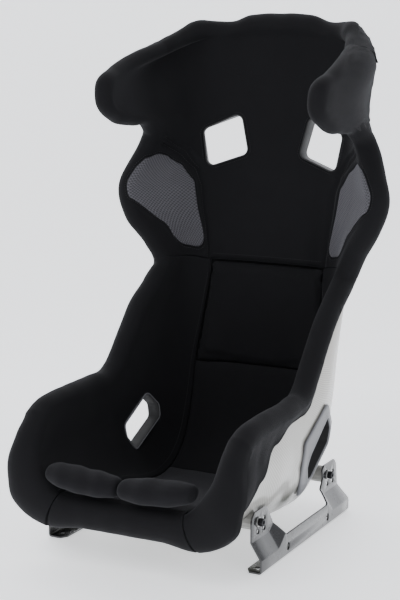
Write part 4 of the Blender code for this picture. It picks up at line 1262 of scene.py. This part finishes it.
def bracket_section(y):
    """Closed outline (x, z) of the bent sheet at y: foot, web, joggle and ear."""
    low, high = joggle(y)
    lean = PLATE * math.tan(math.atan2(WEB_X - EAR_X, high - low) / 2)
    outer = [(FOOT_X, 0.0), (WEB_X, 0.0), (WEB_X, low), (EAR_X, high), (EAR_X, 0.11)]
    inner = [(EAR_X - PLATE, 0.11), (EAR_X - PLATE, high - lean), (WEB_X - PLATE, low - lean),
             (WEB_X - PLATE, PLATE), (FOOT_X, PLATE)]
    radii = (0.0004, 0.0050, 0.0060, 0.0045, 0.0004, 0.0004, 0.0030, 0.0075, 0.0022, 0.0004)
    return rounded(outer + inner, radii, 5)


def prism(outline, axis, low, high):
    """Rings of an outline extruded along x, y or z."""
    return loft("prism", [[np.insert(p, axis, level) for p in outline]
                          for level in (low, high)], COATED)


def round_hole(centre, radius, long=0.0):
    """Outline of a round hole, or of an upright oval one with the given extra height."""
    angles = np.linspace(0, 2 * math.pi, 28, endpoint=False)
    return [np.array(centre) + (radius * math.cos(a), radius * math.sin(a)
                                + math.copysign(long / 2, math.sin(a))) for a in angles]


def make_bracket(side, sign):
    """Side bracket of bent 3 mm sheet, with a foot and two drilled ears."""
    stations = [BRACKET_Y[0], -0.150] + list(np.linspace(-0.124, -0.088, 10)) \
        + list(np.linspace(0.083, 0.113, 10)) + [0.150, BRACKET_Y[1]]
    side_view = [(-0.190, -0.002), (0.178, -0.002), (0.1875, 0.007), (0.1875, 0.022),
                 (0.173, 0.053), (0.167, 0.092), (0.158, 0.102), (0.112, 0.102),
                 (0.104, 0.095), (0.108, 0.080), (0.097, 0.062), (0.084, 0.039),
                 (-0.089, 0.039), (-0.107, 0.066), (-0.124, 0.092), (-0.134, 0.100),
                 (-0.176, 0.100), (-0.186, 0.090), (-0.190, 0.050)]
    plan_view = [(0.215, -0.20), (0.215, 0.20), (0.189, 0.20), (0.1725, 0.174),
                 (0.1725, -0.174), (0.189, -0.20)]
    move = np.array((SHIFT_Y, 0))
    rings = [[(sign * x, y + SHIFT_Y, z) for x, z in bracket_section(y)] for y in stations]
    plate = loft("bracket_skin_" + side, rings, COATED, smooth=35)
    across = sorted((sign * 0.15, sign * 0.23))
    cut(plate, prism([p + move for p in rounded(side_view, 0.004, 5)], 0, *across), 'INTERSECT')
    plan = [p * np.array((sign, 1)) + move[::-1] for p in rounded(plan_view, 0.003, 4)]
    cut(plate, prism(plan, 2, -0.01, 0.12), 'INTERSECT')
    for y in BOLT_Y:
        for dy in (0, 0.024):
            for dz in (0, -0.017):
                centre = np.array((y + dy, BOLT_Z + dz)) + move
                cut(plate, prism(round_hole(centre, 0.0046), 0, *across))
    for y in (-0.082, 0.087):
        cut(plate, prism(round_hole(np.array((y, 0.0165)) + move, 0.0058, 0.002), 0, *across))
    for y in FOOT_HOLE_Y:
        cut(plate, prism(round_hole((sign * 0.188, y + SHIFT_Y), 0.0042), 2, -0.01, 0.01))
    bevel(plate, 0.0005, 2, 50)
    keep(plate, "seat", ["side_bracket_" + side])


def turned(name, centre, sign, profile, mat, closed=False, socket=(), ridged=()):
    """Piece turned about an X axis from (x, radius) pairs, with a hexagonal socket."""
    rings = []
    count = 72
    for i, (x, radius) in enumerate(profile):
        ring = []
        for k in range(count):
            a = 2 * math.pi * k / count
            r = radius
            if i in socket:
                r = radius / math.cos((a % (math.pi / 3)) - math.pi / 6)
            if i in ridged:
                r = radius - 0.00022 * (k % 2)
            ring.append((sign * x, centre[0] + r * math.cos(a), centre[1] + r * math.sin(a)))
        rings.append(ring)
    return loft(name, rings, mat, closed=closed, smooth=35)


def make_fixings():
    """Socket bolts, washers and captive nuts at the four ears, and their bosses."""
    head = EAR_X + 0.0022
    for side, sign in (("left", 1), ("right", -1)):
        for place, y in zip(("front", "rear"), BOLT_Y):
            centre = (y + SHIFT_Y, BOLT_Z)
            label = place + "_" + side
            bolt = turned("bolt_" + label, centre, sign,
                          ((0.1765, 0.0030), (0.1775, 0.0039), (head, 0.0039), (head, 0.0062),
                           (head + 0.0003, 0.0065), (head + 0.0006, 0.0067),
                           (head + 0.0064, 0.0067), (head + 0.0070, 0.0065),
                           (head + 0.0077, 0.0061), (head + 0.0080, 0.0055),
                           (head + 0.0080, 0.0034), (head + 0.0076, 0.0031),
                           (head + 0.0038, 0.0031), (head + 0.0030, 0.0006)),
                          BOLT, socket=(10, 11, 12), ridged=(5, 6))
            keep(bolt, "seat", ["side_bolt_" + label])
            washer = turned("washer_disc_" + label, centre, sign,
                            ((EAR_X + 0.0003, 0.0043), (EAR_X + 0.0003, 0.0083),
                             (EAR_X + 0.0005, 0.0085), (EAR_X + 0.0016, 0.0085),
                             (EAR_X + 0.0019, 0.0082), (EAR_X + 0.0019, 0.0045)),
                            STEEL, closed=True)
            keep(washer, "seat", ["washer_" + label])
            nut = turned("nut_ring_" + label, centre, sign,
                         ((0.1762, 0.0045), (0.1762, 0.0080), (0.1766, 0.0084),
                          (0.1818, 0.0084), (0.1822, 0.0080), (0.1822, 0.0045)),
                         STEEL, closed=True)
            keep(nut, "seat", ["captive_nut_" + label])
            dress("boss_" + label, MOULDED_BOSS)


# ---------------------------------------------------------------- making it all
shell = make_shell()
upper = make_upper_cover()
bolster_left, bolster_right = make_bolster_covers()
lip = make_lip_cover()
lumbar, lower_back, seat_pad = make_centre_pads()
UPPER_LEVELS = (-0.03, -0.0012, 0.0242, 0.06)
LAP_LEVELS = (-0.03, -0.0008, SHELL_OUT + 0.0026, 0.05)
for sign in (1, -1):
    drill((shell, upper), SHOULDER_SLOT, [0, 2], (18.0, 0.2), UPPER_LEVELS, sign, VELOUR)
drill((shell, bolster_left), LAP_SLOT, [1, 2], (7.0, 0.7), LAP_LEVELS, 1, VELOUR)
drill((shell, bolster_right), LAP_SLOT, [1, 2], (7.0, 0.7), LAP_LEVELS, -1, VELOUR)
CROTCH_LEVELS = (-0.03, 0.0, 0.017, 0.0242, 0.09)
drill((shell, seat_pad), CROTCH_SLOT, [0, 1], (2.0, 0.0), CROTCH_LEVELS, 1, VELOUR)

keep(shell, "seat", ["shell"])
keep(upper, "seat", ["upper_cover"])
keep(bolster_left, "seat", ["bolster_cover_left"])
keep(bolster_right, "seat", ["bolster_cover_right"])
keep(lip, "seat", ["front_lip_cover"])
keep(lumbar, "lumbar", ["lumbar_pad"])
keep(lower_back, "seat", ["lower_back_pad"])
keep(seat_pad, "seat_cushion", ["seat_pad"])
for side, sign in (("left", 1), ("right", -1)):
    keep(make_thigh_roll(side, sign), "seat_cushion", ["thigh_roll_" + side])
    make_insert(side, sign)
    make_slot_edges(side, sign)
    make_bezel(side, sign)
    make_bracket(side, sign)
make_crotch_edge()
make_seam_stitches()
make_tapes()
make_fixings()


# ---------------------------------------------------------------- studio
VIEW_TURN = math.radians(27.344)     # how far the camera stands round to the seat's left
VIEW_TILT = math.radians(10.945)     # how far it looks down
SWEEP_Y = 1.0                        # where the floor starts to rise behind the seat
SWEEP_RADIUS = 1.2


def studio():
    """Pale floor that sweeps up into a white wall, soft lights and the camera."""
    floor = Nodes("studio_floor")
    floor.put(Base_Color=(0.90, 0.91, 0.93, 1), Roughness=0.55,
              Emission_Color=(0.97, 0.98, 1.0, 1), Emission_Strength=0.85)
    profile = [(-6.0, 0.0), (SWEEP_Y, 0.0)]
    profile += [(SWEEP_Y + SWEEP_RADIUS * math.sin(a), SWEEP_RADIUS * (1 - math.cos(a)))
                for a in np.linspace(0.08, math.pi / 2, 14)]
    profile.append((SWEEP_Y + SWEEP_RADIUS, 5.0))
    verts = [(x, y, z) for y, z in profile for x in (-7.0, 7.0)]
    faces = grid_quads(len(profile), 2)
    sweep = new_object("studio_sweep", verts, faces, floor.mat)
    sweep.rotation_euler = (0, 0, VIEW_TURN)
    scene = bpy.context.scene
    world = bpy.data.worlds.new("studio_world")
    world.use_nodes = True
    world.node_tree.nodes["Background"].inputs["Color"].default_value = (0.93, 0.95, 1.0, 1)
    world.node_tree.nodes["Background"].inputs["Strength"].default_value = 0.62
    scene.world = world
    lamps = (("key", (-0.6, -2.8, 3.4), 2.6, 80), ("right_fill", (3.2, -1.2, 1.8), 2.4, 36),
             ("back_rim", (-1.8, 1.4, 3.0), 1.6, 28))
    for name, place, size, power in lamps:
        light = bpy.data.lights.new(name, 'AREA')
        light.shape = 'SQUARE'
        light.size = size
        light.energy = power
        lamp = bpy.data.objects.new(name, light)
        lamp.location = place
        aim = Vector((0, 0, 0.45)) - Vector(place)
        lamp.rotation_euler = aim.to_track_quat('-Z', 'Y').to_euler()
        scene.collection.objects.link(lamp)
    camera = bpy.data.cameras.new("camera")
    camera.lens = 94.37
    camera.sensor_width = 36
    view = bpy.data.objects.new("camera", camera)
    view.location = (1.2253, -2.3792 + SHIFT_Y, 0.9218)
    view.rotation_euler = (math.pi / 2 - VIEW_TILT, 0, VIEW_TURN)
    scene.collection.objects.link(view)
    scene.camera = view


studio()
